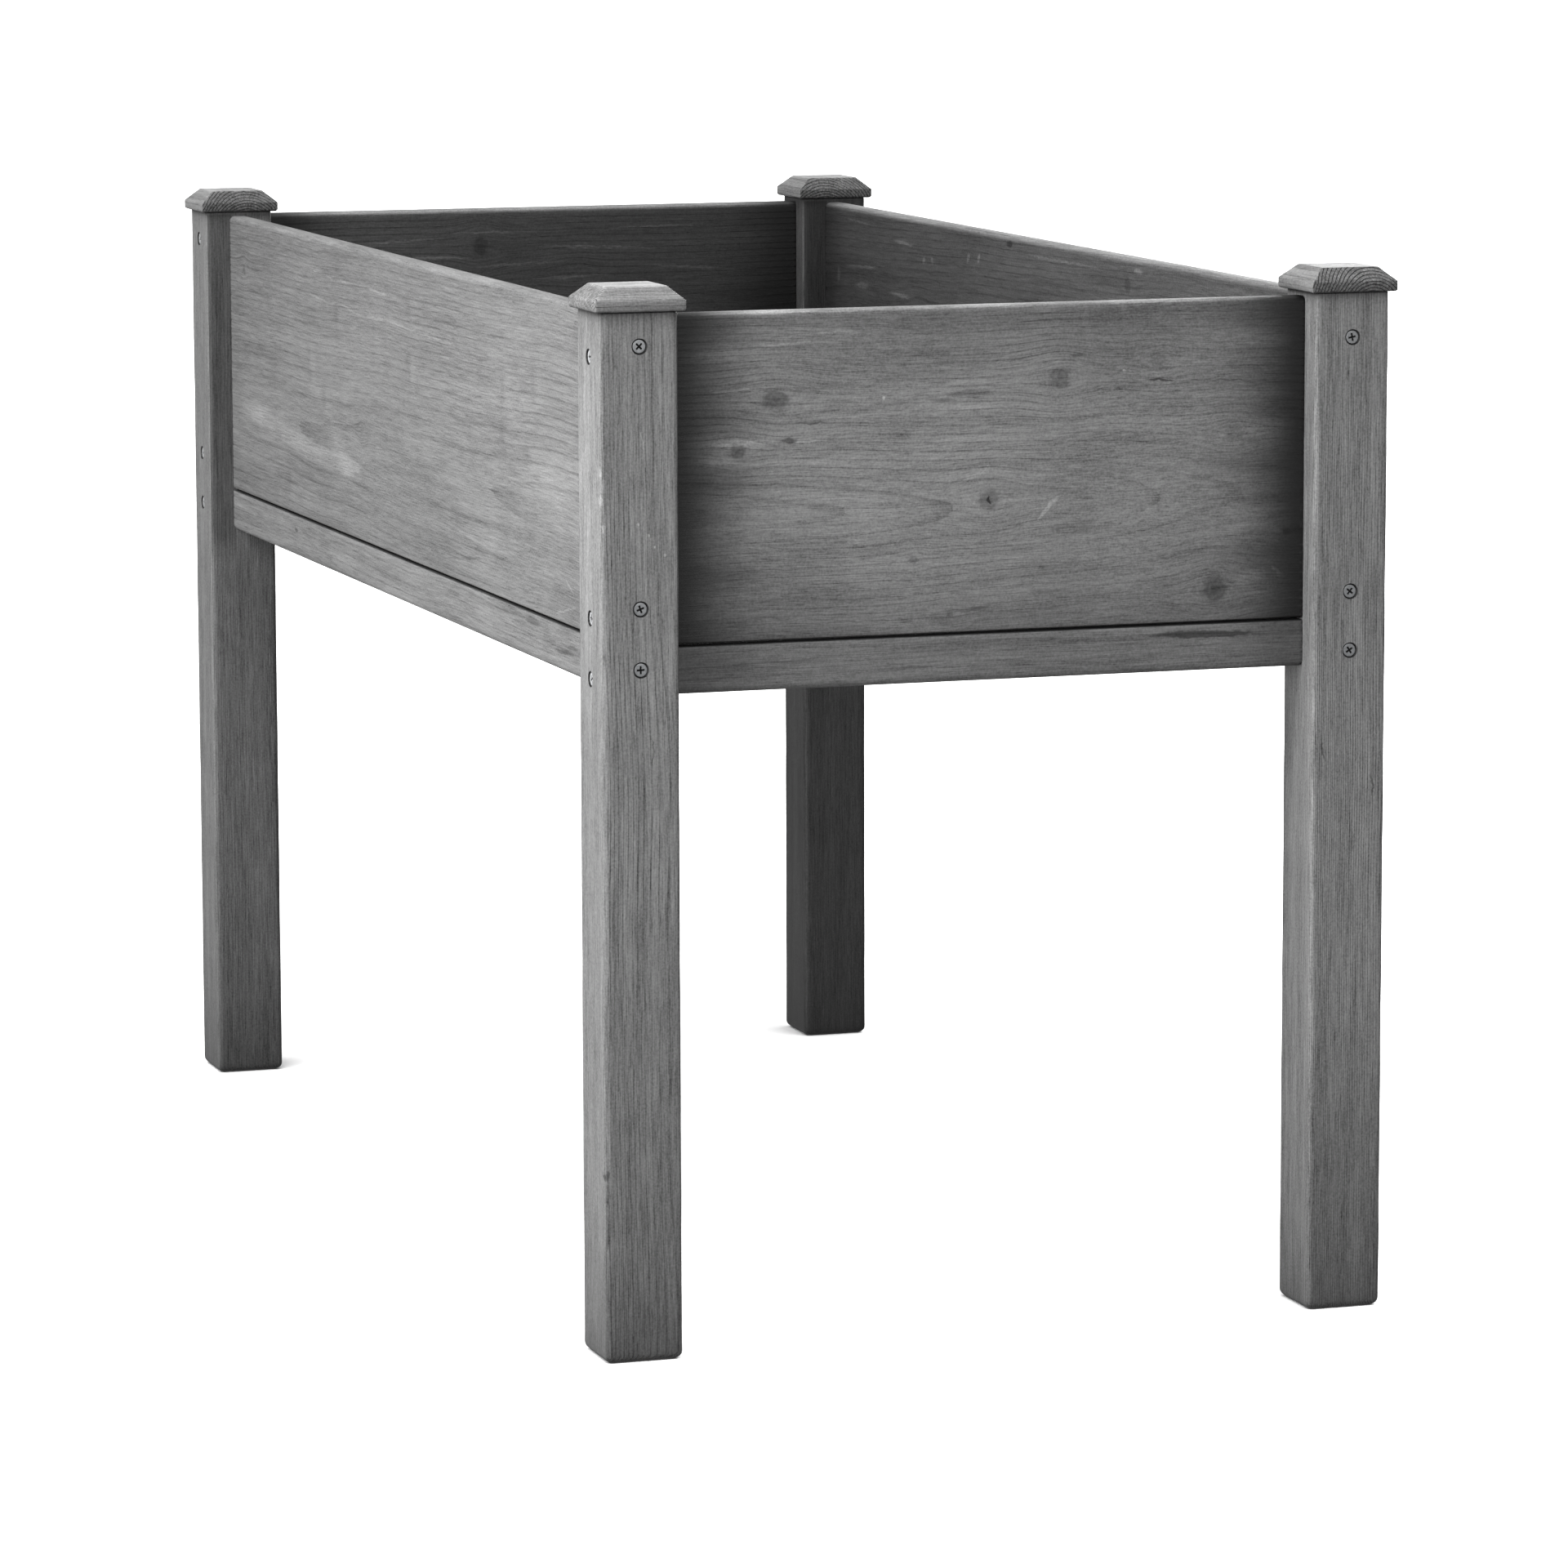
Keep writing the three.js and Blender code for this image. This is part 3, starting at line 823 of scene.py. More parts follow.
@dataclass
class Screw:
    """A countersunk wood screw with a cross recess, lying where its CAD node lies.

    Attributes:
        node: the CAD node.
        turn: the way the recess is turned, in degrees.
        head_radius: radius of the head's rim.
        rim_height: height of the rim above the cone.
        cone_height: height of the cone under it.
        shank_radius: radius of the smooth shank.
        core_radius: radius at the foot of the thread.
        pitch: thread pitch.
        smooth_length: the length below the head that has no thread.
        tip_length: length of the point.
        arm_half_width: half the width of a recess arm at the top.
        arm_reach: length of an arm from the middle.
        recess_depth: depth of the recess at the middle.
        square: half the side of the square that the recess is cut in.
        arm_line: place of the extra line across each arm.
        rim_ease: radius of the eased rim.
    """

    node: str
    turn: float = 0.0
    head_radius: float = 4.7 * MM
    rim_height: float = 0.8 * MM
    cone_height: float = 3.4 * MM
    shank_radius: float = 2.3 * MM
    core_radius: float = 1.6 * MM
    pitch: float = 3.0 * MM
    smooth_length: float = 52 * MM
    tip_length: float = 6 * MM
    arm_half_width: float = 0.72 * MM
    arm_reach: float = 2.9 * MM
    recess_depth: float = 1.7 * MM
    square: float = 3.06 * MM
    arm_line: float = 1.6 * MM
    rim_ease: float = 0.18 * MM

    def __post_init__(self) -> None:
        """Finds the head from the CAD node's box."""
        low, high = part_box(self.node)
        middle = (low + high) / 2
        size = high - low
        self.axis = 0 if size.x > size.y else 1
        self.side = 1 if middle[self.axis] > 0 else -1
        self.length = size[self.axis]
        self.head = middle.copy()
        self.head[self.axis] = high[self.axis] if self.side > 0 else low[self.axis]

    def build(self, material: Material) -> bpy.types.Object:
        """Makes the screw.

        The head's middle is a square of cells whose cross-shaped part is pushed down. Circles run
        from the square's edge over the rim and down the shank to the point. On the thread, a
        circle's radius is the core's plus a ridge that climbs one pitch in each turn.

        Args:
            material: the finish.

        Returns:
            The screw.
        """
        floor_width, floor_reach = self.arm_half_width * 0.85, self.arm_reach * 0.92
        middle = [0, floor_width, self.arm_half_width, self.arm_line]
        half = np.array([*middle, floor_reach, self.arm_reach, self.square])
        lines = np.concatenate([-half[:0:-1], half])
        u, v = np.meshgrid(lines, lines, indexing="ij")
        close = 1e-9
        cross = (np.abs(u) < floor_width + close) & (np.abs(v) < floor_reach + close)
        cross |= (np.abs(v) < floor_width + close) & (np.abs(u) < floor_reach + close)
        depth = np.where(cross, self.recess_depth * (1 - 0.5 * np.hypot(u, v) / floor_reach), 0)
        side = len(lines)
        number = np.arange(side * side).reshape(side, side)
        cells = [number[:-1, :-1], number[1:, :-1], number[1:, 1:], number[:-1, 1:]]
        cells = np.stack(cells, -1).reshape(-1, 4)
        loop = [number[:-1, 0], number[-1, :-1], number[:0:-1, -1], number[0, :0:-1]]
        loop = np.concatenate(loop)
        flat = np.column_stack([u.ravel(), v.ravel()])
        angle = np.arctan2(flat[loop, 1], flat[loop, 0])
        radii, depths = self._outline(angle)
        depths = np.broadcast_to(depths, radii.shape)
        rings = np.stack([radii * np.cos(angle), radii * np.sin(angle), depths], -1)
        head = np.column_stack([flat, depth.ravel()])
        local = np.concatenate([head, rings.reshape(-1, 3), [[0, 0, self.length]]])
        index = side * side + np.arange(rings.shape[0] * len(loop)).reshape(rings.shape[0], -1)
        index = np.concatenate([loop[None], index])
        near, far = index[1:], index[:-1]
        walls = np.stack([near, np.roll(near, -1, 1), np.roll(far, -1, 1), far], -1).reshape(-1, 4)
        tip = np.full(len(loop), len(local) - 1)
        triangles = np.column_stack([tip, np.roll(index[-1], -1), index[-1]])
        skin = Skin(self._placed(local), np.concatenate([cells, walls]), triangles)
        piece = skin.to_object(f"cross_head_{self.node}")
        # The driver recess takes grime and painted shade.
        grime_and_shade = np.zeros(len(local))
        grime_and_shade[: side * side] = depth.ravel() > 0
        give_attribute(piece.data, "grime_and_shade", grime_and_shade)
        piece.data.materials.append(material)
        return settle(piece, "zinc_screw", self.node)

    def _outline(self, angle: np.ndarray) -> tuple[np.ndarray, np.ndarray]:
        """The rings below the square: head, cone, smooth shank, thread and point.

        Args:
            angle: the angle of each point of a ring.

        Returns:
            The radius at each angle and the depth of each ring.
        """
        ease = self.rim_ease
        neck = self.rim_height + self.cone_height
        plain = np.array(
            [
                (self.head_radius - 1.6 * ease, 0),
                (self.head_radius - 0.5 * ease, 0.3 * ease),
                (self.head_radius, ease),
                (self.head_radius, self.rim_height),
                (self.shank_radius, neck),
                (self.shank_radius, self.smooth_length),
            ]
        )
        step = self.pitch / 4
        thread = even_lines(self.smooth_length + step, self.length - 0.3 * MM, step)
        taper = np.clip((self.length - thread) / self.tip_length, 0.05, 1)
        phase = thread[:, None] / self.pitch - angle / (2 * np.pi)
        ridge = np.maximum(0, 1 - 3.2 * np.abs(phase % 1 - 0.5))
        fade = np.clip((thread - self.smooth_length) / self.pitch, 0, 1)
        crest = (self.shank_radius - self.core_radius) * ridge * fade[:, None]
        threaded = (self.core_radius + crest) * taper[:, None]
        radii = np.concatenate([np.repeat(plain[:, :1], len(angle), 1), threaded])
        depths = np.concatenate([plain[:, 1], thread])[:, None]
        return radii, depths

    def _placed(self, local: np.ndarray) -> np.ndarray:
        """Puts points into the planter's frame.

        Args:
            local: for each point its place across, its height and its depth below the head.

        Returns:
            Their places in the planter.
        """
        spin = math.radians(self.turn)
        across = local[:, 0] * math.cos(spin) - local[:, 1] * math.sin(spin)
        up = local[:, 0] * math.sin(spin) + local[:, 1] * math.cos(spin)
        b, c = (self.axis + 1) % 3, (self.axis + 2) % 3
        placed = np.tile(np.array(self.head), (len(local), 1))
        placed[:, self.axis] -= self.side * local[:, 2]
        placed[:, b] += across * self.side
        placed[:, c] += up
        return placed


# --- Corners ----------------------------------------


@dataclass
class Post:
    """A square post with its screw holes and its dowel hole.

    Attributes:
        corner: which corner it stands at.
        stain_and_shade: how light this stick took the stain.
        inner_shading: how light its inner faces are beside the outer ones: painted shade, or
            painted light where it is above 1.
        shade_beside: painted shadow: how light they are where they stand beside a wall.
        box_face_shading: painted shade and light: how light the two faces inside the box are, the
            one that looks along X first.
        foot_darkening: how much darker the foot is, as a share.
        foot_height: how far up the foot's dark part reaches.
        wall_foot: height of the walls' lower edge.
        strip_start: how far from the post's middle line the strip beside a wall begins.
        strip_fade: how far below the walls the painted shadow strip beside them fades out.
        cap_shadow: painted shadow: how much darker the wood is just under the cap, as a share.
        cap_shadow_depth: how far down that reaches.
        rub: how much lighter a rubbed arris is, as a share.
        rub_width: how far in from the arris it was rubbed.
        bore_shade: painted shade: how light the wood is in its bores.
        skin_depth: how near a face a point lies that belongs to it.
        arris: radius of the upright arrises.
        foot_arris: radius round the foot.
        top_arris: radius round the top.
        mouth: radius of a countersink at the face.
        throat: radius of the hole round the head.
        shank_hole: radius of the hole round the shank.
        dowel_hole: radius of the dowel's hole.
        clearance: how much deeper a hole is than what it holds.
        far_skin: the wood left between a screw's hole and the far face.
        bore_reach: half the side of the square that a bore is cut in.
        zone: half the width of the strip of fine cells round the screws.
        zone_ends: how far that strip runs on above and below the screws.
        fine: cell size in the strip.
        middling: cell width beside the strip.
        coarse: cell height above and below it.
        piths: the tree's middle for each corner in turn, in millimetres.
    """

    corner: str
    stain_and_shade: float = 1.0
    inner_shading: float = 0.6
    shade_beside: float = 0.9
    box_face_shading: tuple[float, float] = (1.0, 1.0)
    foot_darkening: float = 0.55
    foot_height: float = 75 * MM
    wall_foot: float = 473 * MM
    strip_start: float = 7 * MM
    strip_fade: float = 34 * MM
    cap_shadow: float = 0.88
    cap_shadow_depth: float = 4.5 * MM
    rub: float = 0.12
    rub_width: float = 2.4 * MM
    bore_shade: float = 0.12
    skin_depth: float = 0.4 * MM
    arris: float = 4 * MM
    foot_arris: float = 6 * MM
    top_arris: float = 0.8 * MM
    mouth: float = 5.7 * MM
    throat: float = 5.0 * MM
    shank_hole: float = 2.6 * MM
    dowel_hole: float = 4.3 * MM
    clearance: float = 0.3 * MM
    far_skin: float = 1.5 * MM
    bore_reach: float = 8 * MM
    zone: float = 10 * MM
    zone_ends: float = 12 * MM
    fine: float = 2 * MM
    middling: float = 3.3 * MM
    coarse: float = 5 * MM
    piths: tuple[tuple[float, float], ...] = ((-70, 35), (60, 48), (40, -66), (-52, -58))

    def __post_init__(self) -> None:
        """Takes the post's place from its CAD node."""
        low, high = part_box(f"post_{self.corner}")
        self.centre = np.array((low + high) / 2)
        self.half = (high.x - low.x) / 2
        self.top = high.z
        self.outward = np.sign(self.centre[:2])
        self.index = CORNERS.index(self.corner)

    def build(self, material: Material, screws: list[Screw]) -> bpy.types.Object:
        """Makes the post.

        Its section is a square with rounded corners. Near the foot and the top the section draws in
        by a quarter circle's depth. Each face is a little out of true, by slow waves.

        Args:
            material: the finish.
            screws: the screws that go through it.

        Returns:
            The post.
        """
        across, up = self._lines(sorted(screw.head.z for screw in screws))
        block = Block((across + self.centre[0], across + self.centre[1], up))
        for screw in screws:
            self._drill(block, screw)
        depth = self.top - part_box(f"cap_dowel_{self.corner}")[0].z + self.clearance
        profile = [(self.dowel_hole, 0), (self.dowel_hole, depth), (0, depth)]
        block.bore(2, 1, (self.centre[0], self.centre[1]), self.bore_reach, profile)
        points = block.points
        place = points[:, :2] - self.centre[:2]
        stain_and_shade = self._stain_and_shade(points, place, block.in_bore)
        worn = self.arris * (1 + 0.12 * waves(points[:, 2], 0.11, 7 + self.index))
        x, y = rounded_section(place[:, 0], place[:, 1], self.half, self.half, worn)
        up_foot = np.clip(1 - points[:, 2] / self.foot_arris, 0, 1)
        up_top = np.clip(1 - (self.top - points[:, 2]) / self.top_arris, 0, 1)
        inset = self.foot_arris * (1 - np.sqrt(1 - up_foot**2))
        inset += self.top_arris * (1 - np.sqrt(1 - up_top**2))
        draw_in = np.where(block.in_bore, 1, 1 - inset / self.half)
        bow = 0.12 * MM * waves(points[:, 2], 0.5, 30 + self.index)
        points[:, 0] = self.centre[0] + x * draw_in + bow * (1 - block.in_bore)
        points[:, 1] = self.centre[1] + y * draw_in
        piece = block.skin().to_object(f"leg_{self.corner}")
        timber = Timber(Axis.Z, self.piths[self.index], (3, -4), 0.8, 11 + self.index)
        finish_wood(piece, timber, stain_and_shade, material)
        return settle(piece, "stained_post", f"post_{self.corner}")

    def _lines(self, heights: list[float]) -> tuple[np.ndarray, np.ndarray]:
        """Finds where the cell walls lie: close together round the screws and at the arrises.

        Args:
            heights: the heights of the screws, rising.

        Returns:
            The places across the post, about its middle, and the heights.
        """
        arris = np.concatenate([rounding_lines(s * self.half, -s, self.arris, 3) for s in (-1, 1)])
        flat = self.half - self.arris
        across = merged_lines(arris, even_lines(-flat, flat, self.middling))
        strip = even_lines(-self.zone, self.zone, self.fine)
        across = merged_lines(across[np.abs(across) > self.zone], strip)
        # The four lower screws share one strip, and the two upper ones another, up to the top.
        low_strip = even_lines(heights[0] - self.zone_ends, heights[3] + self.zone_ends, self.fine)
        high_strip = even_lines(heights[4] - self.zone_ends, self.top - self.top_arris, self.fine)
        foot = self.foot_arris * (1 - np.cos(np.linspace(0, np.pi / 2, 6)))
        crown = self.top - self.top_arris * (1 - np.cos(np.linspace(0, np.pi / 2, 4)))
        below = even_lines(self.foot_arris, low_strip[0], self.coarse)
        between = even_lines(low_strip[-1], high_strip[0], self.coarse)
        return across, merged_lines(foot, below, low_strip, between, high_strip, crown)

    def _drill(self, block: Block, screw: Screw) -> None:
        """Cuts a screw's hole: countersink, cone and shank hole, and on to the far face's skin.

        Args:
            block: the post's block.
            screw: the screw.
        """
        face = self.centre[screw.axis] + screw.side * self.half
        sink = abs(face - screw.head[screw.axis])
        rim = sink + screw.rim_height + self.clearance
        through = 2 * self.half - self.far_skin
        profile = [
            (self.mouth, 0),
            (self.throat, sink),
            (self.throat, rim),
            (self.shank_hole, rim + screw.cone_height),
            (self.shank_hole, through),
            (0, through),
        ]
        b, c = (screw.axis + 1) % 3, (screw.axis + 2) % 3
        block.bore(screw.axis, screw.side, (screw.head[b], screw.head[c]), self.bore_reach, profile)

    def _stain_and_shade(self, points: np.ndarray, place: np.ndarray, in_bore: np.ndarray) -> np.ndarray:
        """Where the stain is thin or thick: rubbed arrises. Painted shade in the countersinks, on
        the inner faces, beside the walls and under the cap, and a painted pool of light on the
        front right post.

        Args:
            points: the points, before the arrises are rounded.
            place: their places across the post, from its middle.
            in_bore: which of them line a hole.

        Returns:
            For each point, its brightness beside the plain stain's.
        """
        near = self.half - np.abs(place)
        at_arris = np.exp(-((np.hypot(near[:, 0], near[:, 1]) / self.rub_width) ** 2))
        rubbed = 0.5 + 0.5 * waves(points[:, 2], 0.17, 60 + self.index, 5)
        turned = place * self.outward
        inner = turned < -self.half + self.skin_depth
        inside = (inner[:, 0] | inner[:, 1]) & (points[:, 2] < self.top - MM)
        # Painted shadow in a strip beside the walls, fading out below them.
        beside_wall = inside & (turned.max(1) > self.strip_start)
        down_to = np.clip((points[:, 2] - self.wall_foot) / self.strip_fade + 1, 0, 1)
        strip = beside_wall * down_to**2 * (3 - 2 * down_to)
        in_box = inside & (points[:, 2] > self.wall_foot) & (turned.max(1) < -self.strip_start)
        stain_and_shade = np.full(len(points), self.stain_and_shade)
        # Painted shade and light on the inner faces and on the faces inside the box.
        stain_and_shade *= np.where(inside, self.inner_shading, 1)
        stain_and_shade *= 1 - (1 - self.shade_beside) * strip
        stain_and_shade *= np.where(in_box, np.where(inner[:, 0], self.box_face_shading[0], self.box_face_shading[1]), 1)
        stain_and_shade *= 1 + self.rub * at_arris * rubbed
        # Painted shadow under the cap.
        stain_and_shade *= 1 - self.cap_shadow * np.exp(-(self.top - points[:, 2]) / self.cap_shadow_depth)
        stain_and_shade *= 1 - self.foot_darkening * np.exp(-points[:, 2] / self.foot_height)
        if self.corner == "front_right":
            # Painted light: a pool of light on the front face beside the panel, about 620 mm up.
            front = place[:, 1] < -self.half + self.skin_depth
            beside_panel = np.exp(-(((points[:, 2] - 620 * MM) / (85 * MM)) ** 2))
            # Its outer front arris is darker, not rubbed pale.
            stain_and_shade *= 1 - 0.3 * at_arris * ((place[:, 0] > 0) & (place[:, 1] < 0))
            stain_and_shade *= 1 + 0.34 * front * beside_panel
        # Painted shade in the bores.
        return np.where(in_bore, self.bore_shade, stain_and_shade)


@dataclass
class Cap:
    """A square cap with an upright edge, four slopes and a flat top.

    Attributes:
        corner: which corner it sits at.
        grain: the way its grain runs.
        soak: how much darker its end grain is, as a share.
        stain_and_shade: how light it took the stain.
        painted_top_light: painted highlight: how much lighter its top is, darker where below 0.
        band: height of the upright edge.
        lower_edge: bevel round the underside.
        slope_run: how far a slope runs in.
        ease: radius of the eased arrises.
        hip: radius of the corners between two slopes.
        dowel_hole: radius of the dowel's hole.
        clearance: how much deeper the hole is than the dowel.
        last_ring: reach of the innermost ring of the top, beside the cap's own.
        cell: the longest leg of the outline.
        side_points: points along each side of a ring.
        chip: depth of the waves that the saw and the plane left.
        piths: the tree's middle for each corner in turn, in millimetres.
    """

    corner: str
    grain: Axis
    soak: float = 0.5
    stain_and_shade: float = 0.9
    painted_top_light: float = 0.5
    band: float = 7.5 * MM
    lower_edge: float = 1.2 * MM
    slope_run: float = 11 * MM
    ease: float = 0.6 * MM
    hip: float = 0.9 * MM
    dowel_hole: float = 4.3 * MM
    clearance: float = 0.3 * MM
    last_ring: float = 0.25
    cell: float = 2.2 * MM
    side_points: int = 26
    chip: float = 0.15 * MM
    piths: tuple[tuple[float, float], ...] = ((-8, 28), (14, -22), (-10, -30), (6, -26))

    def build(self, material: Material) -> bpy.types.Object:
        """Makes the cap.

        Each ring is a square with round corners: along the ray at an angle, its reach is that of
        the side it meets, or of the corner's arc. The rings follow the outline up from the dowel's
        hole, under the rim, over the edge and the slope and in to the middle of the top.

        Args:
            material: the finish.

        Returns:
            The cap.
        """
        low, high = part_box(f"cap_{self.corner}")
        centre = (low + high) / 2
        half = (high.x - low.x) / 2
        height = high.z - low.z
        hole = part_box(f"cap_dowel_{self.corner}")[1].z - low.z + self.clearance
        outline = [
            (self.dowel_hole, hole),
            (self.dowel_hole, 0),
            (half - self.lower_edge, 0),
            (half, self.lower_edge),
            (half, self.band),
            (half - self.slope_run, height),
            (half * self.last_ring, height),
        ]
        reach, level = self._eased(np.array(outline)).T
        spread = np.sin(np.linspace(-1, 1, self.side_points + 1)[:-1] * np.pi / 2)
        angles = np.concatenate([np.arctan(spread) + quarter * np.pi / 2 for quarter in range(4)])
        in_hole = reach < self.dowel_hole * 1.02
        corner_radius = np.where(in_hole, reach, np.minimum(self.hip, reach))
        distance = self._square_reach(angles[None], reach[:, None], corner_radius[:, None])
        x = centre.x + distance * np.cos(angles)
        y = centre.y + distance * np.sin(angles)
        z = np.broadcast_to(low.z + level[:, None], distance.shape)
        count = len(angles)
        poles = [[centre.x, centre.y, low.z + hole], [centre.x, centre.y, high.z]]
        points = np.concatenate([np.stack([x, y, z], -1).reshape(-1, 3), poles])
        seed = CORNERS.index(self.corner)
        places = points[:, 0] + points[:, 1] * 1.3 + points[:, 2]
        chips = self.chip * waves(places, 0.021, 80 + seed, 4)
        sides = np.concatenate([np.repeat(~in_hole & (level > 0), count), [False, False]])
        points[:, 2] += np.where(sides & (points[:, 2] < high.z - 0.2 * MM), chips, 0)
        index = np.arange(len(reach) * count).reshape(len(reach), count)
        near, far = index[:-1], index[1:]
        quads = np.stack([near, np.roll(near, -1, 1), np.roll(far, -1, 1), far], -1).reshape(-1, 4)
        bottom, top = len(points) - 2, len(points) - 1
        first = np.column_stack([np.roll(index[0], -1), index[0], np.full(count, bottom)])
        last = np.column_stack([index[-1], np.roll(index[-1], -1), np.full(count, top)])
        skin = Skin(points, quads, np.concatenate([first, last]))
        piece = skin.to_object(f"post_cap_{self.corner}")
        timber = Timber(self.grain, self.piths[seed], (3, 2), 1.0, 21 + seed)
        # Last two points: the hole's bottom in painted shade, the top's middle in painted light.
        stain_and_shade = np.concatenate([np.repeat(self._stain_and_shade(level, height), count), [0.2, 1.2]])
        finish_wood(piece, timber, stain_and_shade, material, soak=self.soak)
        return settle(piece, "stained_cap", f"cap_{self.corner}")

    def _stain_and_shade(self, level: np.ndarray, height: float) -> np.ndarray:
        """A painted highlight on the top and its arris; darker low on the edge, and painted shade
        under the rim.

        Args:
            level: the height of each ring above the underside.
            height: the cap's height.

        Returns:
            For each ring, its brightness beside the plain stain's.
        """
        # Painted highlight on the top; painted shade on the underside.
        top = np.clip((level - self.band) / (height - self.band), 0, 1)
        low_edge = 0.22 * np.clip(1 - level / (0.6 * self.band), 0, 1)
        under = 0.4 * (level < self.lower_edge * 0.5)
        return self.stain_and_shade + self.painted_top_light * top**16 - low_edge - under

    def _eased(self, outline: np.ndarray) -> np.ndarray:
        """Cuts each corner of the outline with a small arc and adds points along its longer legs.

        Args:
            outline: the reach and the level of each corner.

        Returns:
            The same for each ring.
        """
        found = [outline[:1]]
        for before, corner, after in zip(outline[:-2], outline[1:-1], outline[2:]):
            back, on = before - corner, after - corner
            cut = min(self.ease, 0.4 * np.linalg.norm(back), 0.4 * np.linalg.norm(on))
            start = corner + back / np.linalg.norm(back) * cut
            end = corner + on / np.linalg.norm(on) * cut
            t = np.linspace(0, 1, 4)[:, None]
            found.append(start * (1 - t) ** 2 + corner * 2 * t * (1 - t) + end * t**2)
        found.append(outline[-1:])
        path = np.concatenate(found)
        legs = []
        for start, end in zip(path[:-1], path[1:]):
            steps = max(1, math.ceil(np.linalg.norm(end - start) / self.cell))
            legs.append(start + (end - start) * (np.arange(steps) / steps)[:, None])
        return np.concatenate([*legs, path[-1:]])

    @staticmethod
    def _square_reach(angles: np.ndarray, half: np.ndarray, radius: np.ndarray) -> np.ndarray:
        """Finds how far a square with round corners reaches along each angle.

        Args:
            angles: the angles.
            half: half the square's side.
            radius: the radius of its corners.

        Returns:
            The reach at each angle.
        """
        folded = np.abs((angles + np.pi / 4) % (np.pi / 2) - np.pi / 4)
        cosine, sine = np.cos(folded), np.sin(folded)
        inner = half - radius
        under = np.maximum(radius**2 - (inner * (cosine - sine)) ** 2, 0)
        on_arc = inner * (cosine + sine) + np.sqrt(under)
        return np.where(half * np.tan(folded) <= inner, half / cosine, on_arc)


# --- Walls ----------------------------------------


